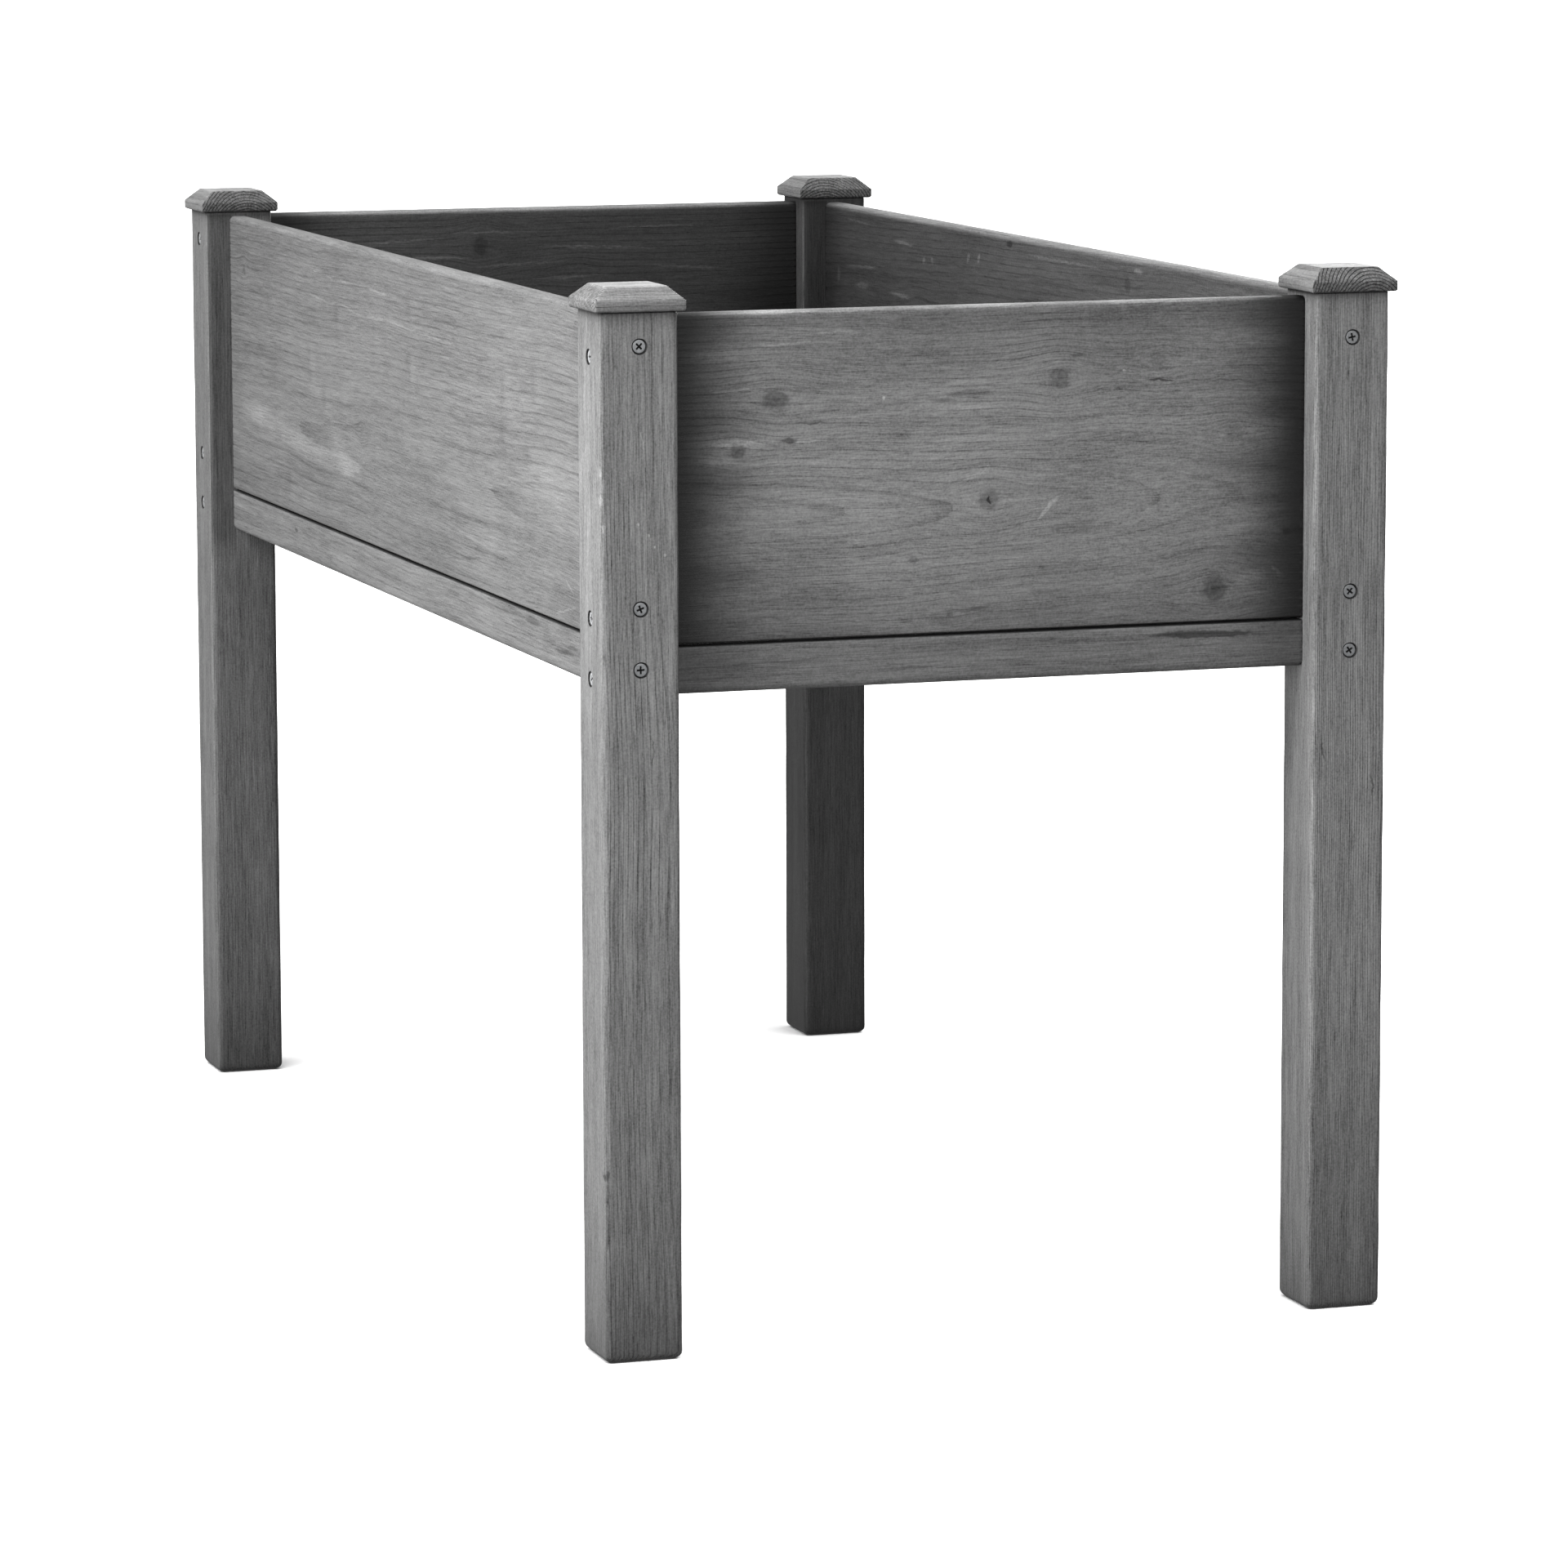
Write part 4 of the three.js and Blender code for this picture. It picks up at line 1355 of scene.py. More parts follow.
@dataclass
class Board:
    """A wall board between two posts, with a screw hole in each end for every screw that meets it.

    Attributes:
        node: its CAD node.
        wall: the wall it belongs to.
        lower_arris: radius of its lower arrises.
        upper_arris: radius of its upper arrises.
        marks: the marks on its faces.
        pith: the tree's middle, as depth from the board's middle outwards and height, in
            millimetres.
        lean: how that drifts along the board, in millimetres per metre.
        wander: half the sideways sweep of the grain, in millimetres.
        stain_and_shade: how light it took the stain.
        inner_shading: painted shade: how light its inner face is beside the outer one.
        inner_shade_falloff: how much darker the painted shade makes the inner face at the board's
            low end, or if it is below 0 at its high end, as a share.
        shade_beside: how dark the painted shade beside the posts is, as a share.
        shade_width: how far that reaches.
        edge_darkening: how much darker the board is along its upper and lower edges, as a share.
        shade_falloff: painted shade: how much darker the outer face is at the board's low end, or
            if it is below 0 at its high end, as a share.
        painted_top_light: painted highlight: how much paler the upper arris is, as a share.
        joint_shade: painted shade: how much darker the edges are where panel and rail meet, as a
            share.
        joint_width: how far that reaches.
        bore_shade: painted shade: how light the wood is in its bores.
        cell: cell size.
        shank_hole: radius of the holes round the shanks.
        clearance: how much deeper a hole is than its screw.
        bore_reach: half the side of the square that a bore is cut in.
    """

    node: str
    wall: str
    lower_arris: float
    upper_arris: float
    marks: tuple[Mark, ...] = ()
    pith: tuple[float, float] = (-34, 10)
    lean: tuple[float, float] = (0, 0)
    wander: float = 1.4
    stain_and_shade: float = 1.0
    inner_shading: float = 0.34
    inner_shade_falloff: float = 0.0
    shade_beside: float = 0.35
    shade_width: float = 45 * MM
    edge_darkening: float = 0.0
    shade_falloff: float = 0.0
    painted_top_light: float = 0.4
    joint_shade: float = 0.8
    joint_width: float = 0.7 * MM
    bore_shade: float = 0.3
    cell: float = 2.8 * MM
    shank_hole: float = 2.6 * MM
    clearance: float = 0.3 * MM
    bore_reach: float = 5 * MM

    def __post_init__(self) -> None:
        """Takes the board's kind from its CAD node's name, and its place from the node."""
        self.kind = self.node.split("_")[0]
        self.low, self.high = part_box(self.node)
        self.grain = Axis.X if self.wall in ("front", "back") else Axis.Y
        self.thick = Axis.Y if self.grain is Axis.X else Axis.X
        self.centre = np.array((self.low + self.high) / 2)
        self.out = 1 if self.centre[self.thick.value] > 0 else -1

    def middle_of(self, mark: Mark) -> Vector:
        """Finds a mark's middle on its face.

        Args:
            mark: the mark.

        Returns:
            The place, in the planter's frame.
        """
        middle = Vector(self.centre)
        middle[self.grain.value] = mark.along * MM
        face = self.high if (self.out > 0) is not mark.inside else self.low
        middle[self.thick.value] = face[self.thick.value]
        middle.z = self.low.z + mark.up * MM
        return middle

    def build(self, finish: StainedWood, screws: list[Screw]) -> bpy.types.Object:
        """Makes the board.

        Its section is a rectangle with two radii, carried along the grain. The board cups and bows
        by slow waves, well inside its joints.

        Args:
            finish: the finish, which takes the board's marks.
            screws: every screw of the planter.

        Returns:
            The board.
        """
        g, t = self.grain.value, self.thick.value
        half = (self.high[t] - self.low[t]) / 2
        arrises = [
            rounding_lines(side * half, -side, radius, steps)
            for side in (-1, 1)
            for radius, steps in ((self.upper_arris, 3), (self.lower_arris, 2))
        ]
        lines = [None, None, None]
        lines[t] = self.centre[t] + merged_lines(*arrises, [-half / 6, half / 6])
        lines[g] = even_lines(self.low[g], self.high[g], self.cell)
        bottom_arc = rounding_lines(self.low.z, 1, self.lower_arris, 2)
        top_arc = rounding_lines(self.high.z, -1, self.upper_arris, 3)
        between = even_lines(bottom_arc[0], top_arc[0], self.cell)
        lines[2] = merged_lines(bottom_arc, between, top_arc)
        block = Block(tuple(lines))
        for screw in screws:
            self._drill(block, screw)
        points = block.points
        stain_and_shade = self._stain_and_shade(points, block.in_bore)
        along = points[:, g]
        a = points[:, t] - self.centre[t]
        b = points[:, 2] - self.centre[2]
        half_height = (self.high.z - self.low.z) / 2
        seed = WALLS.index(self.wall) + (10 if self.kind == "rail" else 0)
        worn = np.where(b > 0, self.upper_arris, self.lower_arris)
        a, b = rounded_section(a, b, half, half_height, worn)
        bow = 0.16 * MM * waves(along, 0.7, 90 + seed) * waves(points[:, 2], 0.4, 120 + seed)
        points[:, t] = self.centre[t] + a + bow
        points[:, 2] = self.centre[2] + b
        piece = block.skin().to_object(f"{self.wall}_wall_{self.kind}")
        # The pith and its lean are given as depth outwards and height, and set on the axes in turn.
        turn = 1 if g == 0 else -1
        pith, lean = ((deep * self.out, high)[::turn] for deep, high in (self.pith, self.lean))
        timber = Timber(self.grain, pith, lean, self.wander, 40 + seed)
        placed = tuple((mark, self.middle_of(mark)) for mark in self.marks)
        material = finish.build(self.thick, placed)
        knots = [
            (middle[g], middle.z, mark.half_length * MM, mark.half_height * MM)
            for mark, middle in placed
            if mark.kind is MarkKind.KNOT
        ]
        finish_wood(piece, timber, stain_and_shade, material, knots)
        return settle(piece, "stained_board", self.node)

    def _drill(self, block: Block, screw: Screw) -> None:
        """Cuts the hole of a screw, if it runs into one of the board's ends.

        Args:
            block: the board's block.
            screw: the screw.
        """
        g, t = self.grain.value, self.thick.value
        if screw.axis != g or not self.low.z < screw.head.z < self.high.z:
            return
        if abs(screw.head[t] - self.centre[t]) > self.shank_hole:
            return
        side = 1 if screw.head[g] > 0 else -1
        end = self.high[g] if side > 0 else self.low[g]
        depth = abs(end - (screw.head[g] - side * screw.length)) + self.clearance
        profile = [
            (self.shank_hole, 0),
            (self.shank_hole, depth - screw.tip_length),
            (0.3 * MM, depth - 0.2 * MM),
            (0, depth),
        ]
        b, c = (g + 1) % 3, (g + 2) % 3
        block.bore(g, side, (screw.head[b], screw.head[c]), self.bore_reach, profile)

    def _stain_and_shade(self, points: np.ndarray, in_bore: np.ndarray) -> np.ndarray:
        """Where the stain is thick or thin over the board.

        It carries painted shade beside the posts, on the inner face and in the joint between panel
        and rail, and a painted highlight on the upper arris. The outer face also darkens towards
        one end, a painted falloff of light.

        Args:
            points: the points, before the arrises are rounded.
            in_bore: which of them line a hole.

        Returns:
            For each point, its brightness beside the plain stain's.
        """
        g, t = self.grain.value, self.thick.value
        half = (self.high[t] - self.low[t]) / 2
        outward = (points[:, t] - self.centre[t]) * self.out / half
        # Painted shade beside the posts, with a ragged edge.
        from_end = np.minimum(points[:, g] - self.low[g], self.high[g] - points[:, g])
        ragged = 1 + 0.25 * waves(points[:, 2], 0.06, 200 + g, 4)
        shade_beside = np.exp(-((from_end / (self.shade_width * ragged)) ** 2.2))
        along = (points[:, g] - self.low[g]) / (self.high[g] - self.low[g])
        height = 2 * (points[:, 2] - self.low.z) / (self.high.z - self.low.z) - 1
        # Painted falloff of light towards one end of the outer face.
        darker_end = 1 - along if self.shade_falloff > 0 else along
        stain_and_shade = self.stain_and_shade * (1 - self.shade_beside * shade_beside) * (1 - abs(self.shade_falloff) * darker_end**1.5)
        uneven = height + 0.12 * waves(points[:, g], 0.4, 310 + g)
        stain_and_shade *= 1 - self.edge_darkening * np.abs(uneven) ** 2.5
        # Painted highlight on the upper arris.
        near_top = np.exp(-(self.high.z - points[:, 2]) / (1.4 * MM))
        stain_and_shade *= 1 + self.painted_top_light * near_top * (0.6 + 0.4 * waves(points[:, g], 0.15, 300 + g, 5))
        # Painted shade in the joint between panel and rail leaves its two edges nearly black.
        meeting = self.low.z if self.kind == "panel" else self.high.z
        stain_and_shade *= 1 - self.joint_shade * np.exp(-(((points[:, 2] - meeting) / self.joint_width) ** 2))
        # Painted shade on the inner face, falling off towards one end.
        inner = np.clip((0.2 - outward) / 0.9, 0, 1)
        above = np.clip((self.high.z - points[:, 2]) / self.upper_arris, 0, 1)
        toward = 1 - along if self.inner_shade_falloff > 0 else along
        inside = self.inner_shading * (1 - abs(self.inner_shade_falloff) * toward**1.5)
        stain_and_shade *= 1 - (1 - inside) * inner * above
        # Painted shade in the bores.
        return np.where(in_bore, self.bore_shade, stain_and_shade)


@dataclass
class FloorPiece:
    """A sawn floor piece: a slat, a batten or the bearer.

    Attributes:
        node: its CAD node.
        grain: the way its grain runs.
        name: the piece's name.
        seed: the draw for its waves, its place in the tree and its stain.
        ease: the width that its arrises were knocked back.
        cell: cell size.
        clearance: the gap round a post.
        keep_off: how near a notch no other cell wall lies.
        bow: depth of its slow wave.
    """

    node: str
    grain: Axis
    name: str
    seed: int
    ease: float = 0.8 * MM
    cell: float = 7 * MM
    clearance: float = 1.0 * MM
    keep_off: float = 2 * MM
    bow: float = 0.1 * MM

    def build(self, material: Material) -> bpy.types.Object:
        """Makes the piece: a block of cells, less those that a post takes up, with eased arrises.

        Args:
            material: the finish.

        Returns:
            The piece.
        """
        low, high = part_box(self.node)
        lines = [even_lines(low[a], high[a], self.cell) for a in range(3)]
        notches = self._notches(low, high)
        for notch in notches:
            for axis in (0, 1):
                clear = np.abs(lines[axis] - notch[axis]) > self.keep_off
                lines[axis] = merged_lines(lines[axis][clear], [notch[axis]])
        middles = [(line[1:] + line[:-1]) / 2 for line in lines]
        x, y, _ = np.meshgrid(*middles, indexing="ij")
        solid = np.ones(x.shape, bool)
        for across, down, side_x, side_y in notches:
            solid &= ~(((x - across) * side_x > 0) & ((y - down) * side_y > 0))
        block = Block(tuple(lines), solid)
        points = block.points
        middle = (points[:, 2] - low.z) / (high.z - low.z) - 0.5
        length = points[:, self.grain.value]
        points[:, 2] += self.bow * waves(length, 0.35, self.seed) * middle
        piece = block.skin().to_object(self.name)
        bevel = piece.modifiers.new("eased arrises", "BEVEL")
        bevel.width, bevel.segments = self.ease, 2
        bevel.limit_method, bevel.angle_limit = "ANGLE", math.radians(50)
        draw = np.random.default_rng(self.seed)
        pith = tuple(draw.uniform(-60, 60, 2) + np.array([0, -45]))
        patchy = waves(points[:, 0] + points[:, 1], 0.3, self.seed)
        stain_and_shade = 0.92 + 0.12 * draw.uniform(-1, 1) + 0.08 * patchy
        finish_wood(piece, Timber(self.grain, pith, (8, 5), 2.5, self.seed), stain_and_shade, material)
        return settle(piece, "sawn_softwood", self.node)

    def _notches(self, low: Vector, high: Vector) -> list[tuple[float, float, int, int]]:
        """Finds the posts that the piece's box runs into.

        Args:
            low: the box's low corner.
            high: its high corner.

        Returns:
            For each such post, where the notch's inner corner lies, and the signs of the way out.
        """
        found = []
        for corner in CORNERS:
            post_low, post_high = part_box(f"post_{corner}")
            side_x = 1 if post_low.x > 0 else -1
            side_y = 1 if post_low.y > 0 else -1
            inner_x = (post_low.x if side_x > 0 else post_high.x) - side_x * self.clearance
            inner_y = (post_low.y if side_y > 0 else post_high.y) - side_y * self.clearance
            if low.x < inner_x < high.x and low.y < inner_y < high.y:
                found.append((inner_x, inner_y, side_x, side_y))
        return found


# --- The planter ----------------------------------------


def knot(
    along: float, up: float, half_length: float, half_height: float, strength: float = 0.45
) -> Mark:
    """A knot with rings of its own.

    Args:
        along, up, half_length, half_height, strength: as in Mark.

    Returns:
        The mark.
    """
    return Mark(MarkKind.KNOT, along, up, half_length, half_height, strength, soft=0.7)


def streak(
    along: float,
    up: float,
    half_length: float,
    half_height: float,
    strength: float = 0.4,
    slant: float = 0.0,
    soft: float = 0.5,
) -> Mark:
    """A dark streak, crack or bark line.

    Args:
        along, up, half_length, half_height, strength, slant, soft: as in Mark.

    Returns:
        The mark.
    """
    return Mark(MarkKind.STREAK, along, up, half_length, half_height, strength, slant, soft)


def pale(
    along: float,
    up: float,
    half_length: float,
    half_height: float,
    strength: float = 0.3,
    slant: float = 0.0,
    soft: float = 0.6,
) -> Mark:
    """A pale scratch, torn fibre or flame of thin stain.

    Args:
        along, up, half_length, half_height, strength, slant, soft: as in Mark.

    Returns:
        The mark.
    """
    return Mark(MarkKind.PALE, along, up, half_length, half_height, strength, slant, soft)


def chatter(along: float, up: float, half_height: float) -> tuple[Mark, Mark]:
    """A planer's chatter mark across the grain: a dark edge with a pale one beside it.

    Args:
        along, up, half_height: as in Mark.

    Returns:
        The two marks.
    """
    dark = streak(along, up, 12, half_height * 1.15, 0.1, 5, 1.0)
    return dark, pale(along + 15, up - 3, 15, half_height, 0.1, 5, 1.0)


def seam(strength: float, *places: tuple[float, float]) -> tuple[Mark, ...]:
    """A pale line that wanders from place to place: one thin mark for each stretch.

    Args:
        strength: how much lighter it is, as a share.
        places: where it turns, along the board and up from its lower edge.

    Returns:
        The marks.
    """
    marks = []
    for (x0, z0), (x1, z1) in zip(places, places[1:]):
        slant = math.degrees(math.atan2(z1 - z0, x1 - x0))
        reach = math.hypot(x1 - x0, z1 - z0) * 0.62
        marks.append(pale((x0 + x1) / 2, (z0 + z1) / 2, reach, 1.5, strength, slant, 0.8))
    return tuple(marks)


def on_inner_face(*marks: Mark) -> tuple[Mark, ...]:
    """Puts marks on a board's inner face.

    Args:
        marks: the marks.

    Returns:
        The same marks, on the inner face.
    """
    return tuple(replace(mark, inside=True) for mark in marks)


# Where the marks lie, in millimetres along each board from its middle and up from its lower edge.
RIGHT_PANEL_MARKS = (
    knot(-161, 170, 14, 10, 0.6),
    knot(-190, 135, 9, 7, 0.6),
    knot(-2, 94, 11, 10, 0.5),
    knot(51, 179, 11, 11, 0.5),
    knot(170, 23, 13, 13, 0.62),
    knot(-59, 53, 5, 5, 0.35),
    knot(127, 188, 9, 7, 0.25),
    knot(184, 136, 10, 8, 0.22),
    knot(226, 63, 7, 4, 0.7),
    streak(-2, 94, 1.6, 4, 0.8),
    streak(-152, 141, 8, 2.4, 0.6),
    streak(-135, 153, 12, 1.2),
    streak(-37, 166, 15, 1.6, 0.28),
    streak(64, 195, 8, 1.8, 0.45),
    knot(-32, 14, 5, 4, 0.4),
    streak(-16, 16, 16, 1.8, 0.32, 6),
    streak(128, 175, 13, 1.1, 0.7, -3),
    streak(172, 174, 46, 0.9, 0.35, -1),
    streak(60, 74, 26, 3, 0.22, 8),
    pale(-188, 140, 29, 4.4, 0.55),
    pale(-204, 128, 20, 3.5, 0.4),
    pale(-188, 177, 27, 1.4, 0.5, 3),
    pale(-148, 209, 46, 1.2, 0.28, 2),
    pale(-121, 216, 46, 1.2, 0.28, 3),
    pale(-150, 198, 36, 1.0, 0.2, -1),
    pale(-81, 169, 1.5, 1.4, 1.2),
    pale(99, 183, 1.7, 1.2, 1.2),
    streak(-106, 152, 88, 0.9, 0.26, -1),
    pale(-140, 140, 12, 1.2, 0.6),
    pale(42, 86, 17, 2.0, 0.5, 47),
    streak(-16, 170, 22, 3.5, 0.3, 1),
    streak(-2, 60, 60, 1.4, 0.22, 2),
    knot(236, 64, 8, 5, 0.7),
    pale(-6, 116, 8, 1.0, 0.3, 55),
    pale(196, 30, 16, 6, 0.28, 8),
    pale(219, 34, 8, 2.4, 0.6, -50),
    pale(100, 226, 3, 6, 0.25),
    pale(70, 222, 3, 7, 0.22),
)

RIGHT_RAIL_MARKS = (
    streak(162, 26.5, 50, 3.4, 0.66, -1, 0.4),
    streak(-150, 20, 30, 2.0, 0.2),
    streak(-60, 12, 22, 1.4, 0.2),
)

FRONT_PANEL_MARKS = (
    *chatter(-196, 177, 16),
    *chatter(-287, 130, 22),
    *chatter(-240, 106, 14),
    *chatter(27, 196, 18),
    *chatter(25, 150, 20),
    *chatter(290, 158, 20),
    *chatter(372, 172, 26),
    *chatter(289, 120, 16),
    *chatter(355, 118, 15),
    *chatter(-358, 28, 19),
    pale(-340, 62, 200, 12, 0.34, -3, 0.8),
    pale(-470, 72, 70, 15, 0.24, 6, 0.8),
    pale(-190, 66, 62, 24, 0.3, -28, 0.9),
    pale(-150, 56, 42, 9, 0.26, 10, 0.7),
    *seam(0.3, (-284, 206), (-235, 206), (-205, 202), (-120, 204), (-19, 201)),
    *seam(0.3, (-291, 186), (-215, 182), (-190, 185), (-110, 179), (-40, 182)),
    *seam(0.3, (-40, 182), (60, 179), (170, 178)),
    pale(300, 150, 150, 26, 0.12, 4, 0.9),
    pale(430, 96, 80, 30, 0.14, 0, 0.9),
    pale(463, 28, 16, 1.1, 0.34, -24),
    pale(452, 10, 34, 1.3, 0.34, 11),
    streak(175, 18, 80, 1.4, 0.2, 6),
    streak(175, 36, 74, 1.4, 0.18, -5),
    streak(-300, 36, 90, 3, 0.16, -3),
    knot(-505, 190, 7, 6, 0.25),
    knot(-120, 88, 8, 6, 0.14),
)

FRONT_RAIL_MARKS = (
    streak(450, 15, 30, 2.6, 0.42, 2),
    streak(468, 20, 18, 2.0, 0.35, 2),
    streak(368, 28, 26, 4.0, 0.3),
    streak(-335, 22, 6, 2.0, 0.5),
    pale(-180, 12, 60, 8, 0.16, 0, 0.8),
    pale(120, 16, 90, 9, 0.14, 0, 0.8),
)

BACK_PANEL_MARKS = (
    *on_inner_face(
        streak(-83, 226, 8, 4, 0.6),
        streak(182, 211, 9, 8, 0.35),
        pale(-462, 221, 38, 1.7, 0.7, -1, 0.7),
        pale(-345, 210, 32, 2.0, 0.9, -1, 0.7),
        pale(-450, 183, 58, 2.0, 0.7, 2, 0.7),
        pale(-453, 167, 24, 3.4, 0.9, 3, 0.7),
        pale(-354, 165, 36, 2.8, 0.8, -1, 0.7),
        pale(-517, 172, 5, 10, 0.8, 0, 0.7),
        pale(-294, 199, 5, 4, 0.9, 50, 0.7),
        pale(-273, 200, 4, 4, 0.7, 50, 0.7),
        pale(-184, 208, 4, 6, 1.0, -40, 0.7),
        pale(-158, 209, 4, 6, 1.0, -40, 0.7),
        pale(45, 220, 120, 1.6, 0.5, 0, 0.7),
        pale(205, 223, 13, 3.0, 0.9, 2, 0.7),
    ),
    knot(-310, 150, 11, 9),
    knot(-95, 62, 8, 7),
    knot(240, 178, 12, 10, 0.4),
    knot(410, 70, 9, 7),
    streak(60, 120, 26, 2.0, 0.35, 2),
    pale(-180, 170, 90, 10, 0.2, 3, 0.8),
    pale(330, 110, 60, 8, 0.2, -4, 0.8),
)

LEFT_PANEL_MARKS = (
    *on_inner_face(
        knot(-49, 200, 9, 12, 0.6),
        streak(226, 126, 92, 66, 0.75, 0, 1.0),
        pale(-120, 206, 46, 1.6, 1.0, 2, 0.8),
        pale(60, 197, 70, 1.8, 1.0, -2, 0.8),
        pale(-10, 184, 50, 2.0, 0.9, 2, 0.8),
        pale(-150, 176, 60, 3.0, 0.8, -3, 0.8),
        pale(110, 214, 60, 1.2, 0.8, 1, 0.8),
        pale(140, 178, 50, 1.6, 0.8, -4, 0.8),
        pale(-30, 212, 60, 1.2, 0.7, 0, 0.8),
        pale(-90, 191, 44, 1.4, 0.9, -1, 0.8),
        pale(30, 172, 50, 1.8, 0.7, 2, 0.8),
    ),
    knot(-120, 64, 10, 8),
    knot(35, 172, 9, 8),
    knot(150, 110, 12, 9, 0.4),
    streak(-40, 120, 20, 1.8, 0.35, -3),
    pale(90, 60, 50, 8, 0.22, 5, 0.8),
)

# Dents and scuffs on the posts' right faces, in millimetres along Y and up from the floor.
POST_MARKS = {
    "front_right": (
        pale(-295.5, 633, 1.2, 4.0, 0.4),
        pale(-295.8, 614, 1.0, 5.0, 0.4),
        pale(-295.2, 594, 1.3, 4.0, 0.5),
        pale(-259, 584, 14, 9, 0.1, -40, 0.9),
        pale(-270, 596, 1.3, 1.6, 0.7),
        pale(-262, 589, 1.2, 1.4, 0.7),
        pale(-256, 580, 1.4, 1.4, 0.8),
        pale(-249, 574, 1.2, 1.6, 0.7),
        pale(-265.5, 655, 1.0, 9, 0.5, 12),
        streak(-294, 136, 1.8, 5.0, 0.55),
        streak(-259, 437, 0.9, 13, 0.45),
    ),
    "back_right": (
        streak(247, 413, 1.2, 8, 0.5),
        streak(286, 387, 1.1, 11, 0.45),
    ),
}


PANEL_MARKS = {
    "front": FRONT_PANEL_MARKS,
    "right": RIGHT_PANEL_MARKS,
    "back": BACK_PANEL_MARKS,
    "left": LEFT_PANEL_MARKS,
}
RAIL_MARKS = {"front": FRONT_RAIL_MARKS, "right": RIGHT_RAIL_MARKS}

# How each corner's post and cap differ from their neighbours, named as in Post and in Cap.
# Several of these set painted shade and painted light.
POSTS = {
    "front_right": {"stain_and_shade": 1.06, "inner_shading": 0.6, "shade_beside": 0.9},
    "back_right": {"stain_and_shade": 1.04, "inner_shading": 1.2, "shade_beside": 0.9},
    "back_left": {"stain_and_shade": 0.62, "inner_shading": 0.45, "shade_beside": 0.8, "box_face_shading": (0.34, 1.4)},
    "front_left": {"stain_and_shade": 0.97, "inner_shading": 0.62, "shade_beside": 0.5},
}
CAPS = {
    "front_right": {"grain": Axis.Y, "soak": -0.2, "stain_and_shade": 0.8, "painted_top_light": 0.95},
    "back_right": {"grain": Axis.X, "soak": 0.48, "stain_and_shade": 0.9, "painted_top_light": -0.3},
    "back_left": {"grain": Axis.X, "soak": 0.64, "stain_and_shade": 0.9, "painted_top_light": 0.4},
    "front_left": {"grain": Axis.X, "soak": 0.68, "stain_and_shade": 0.86, "painted_top_light": 0.55},
}

# How each panel and rail differs, named as in Board.
# Several of these set painted shade and painted highlights.
PANELS = {
    "front": {"pith": (-60, -40), "lean": (10, 6), "shade_beside": 0.0, "shade_falloff": 0.13, "inner_shading": 0.5},
    "right": {
        "pith": (-24, -26),
        "lean": (-62, 0),
        "wander": 2.6,
        "stain_and_shade": 1.22,
        "inner_shading": 0.5,
        "shade_beside": 0.98,
        "edge_darkening": 0.42,
        "shade_falloff": -0.22,
        "painted_top_light": 1.7,
    },
    "back": {
        "pith": (-48, 30),
        "lean": (24, 10),
        "shade_beside": 0.5,
        "inner_shading": 0.61,
        "inner_shade_falloff": 0.55,
    },
    "left": {
        "pith": (-36, 20),
        "lean": (50, -12),
        "shade_beside": 0.85,
        "inner_shading": 0.22,
        "inner_shade_falloff": -0.5,
    },
}
RAILS = {
    "front": {"shade_beside": 0.0, "stain_and_shade": 0.97},
    "right": {"shade_beside": 0.588, "stain_and_shade": 0.77},
    "back": {"shade_beside": 0.3, "stain_and_shade": 0.97},
    "left": {"shade_beside": 0.51, "stain_and_shade": 0.97},
}


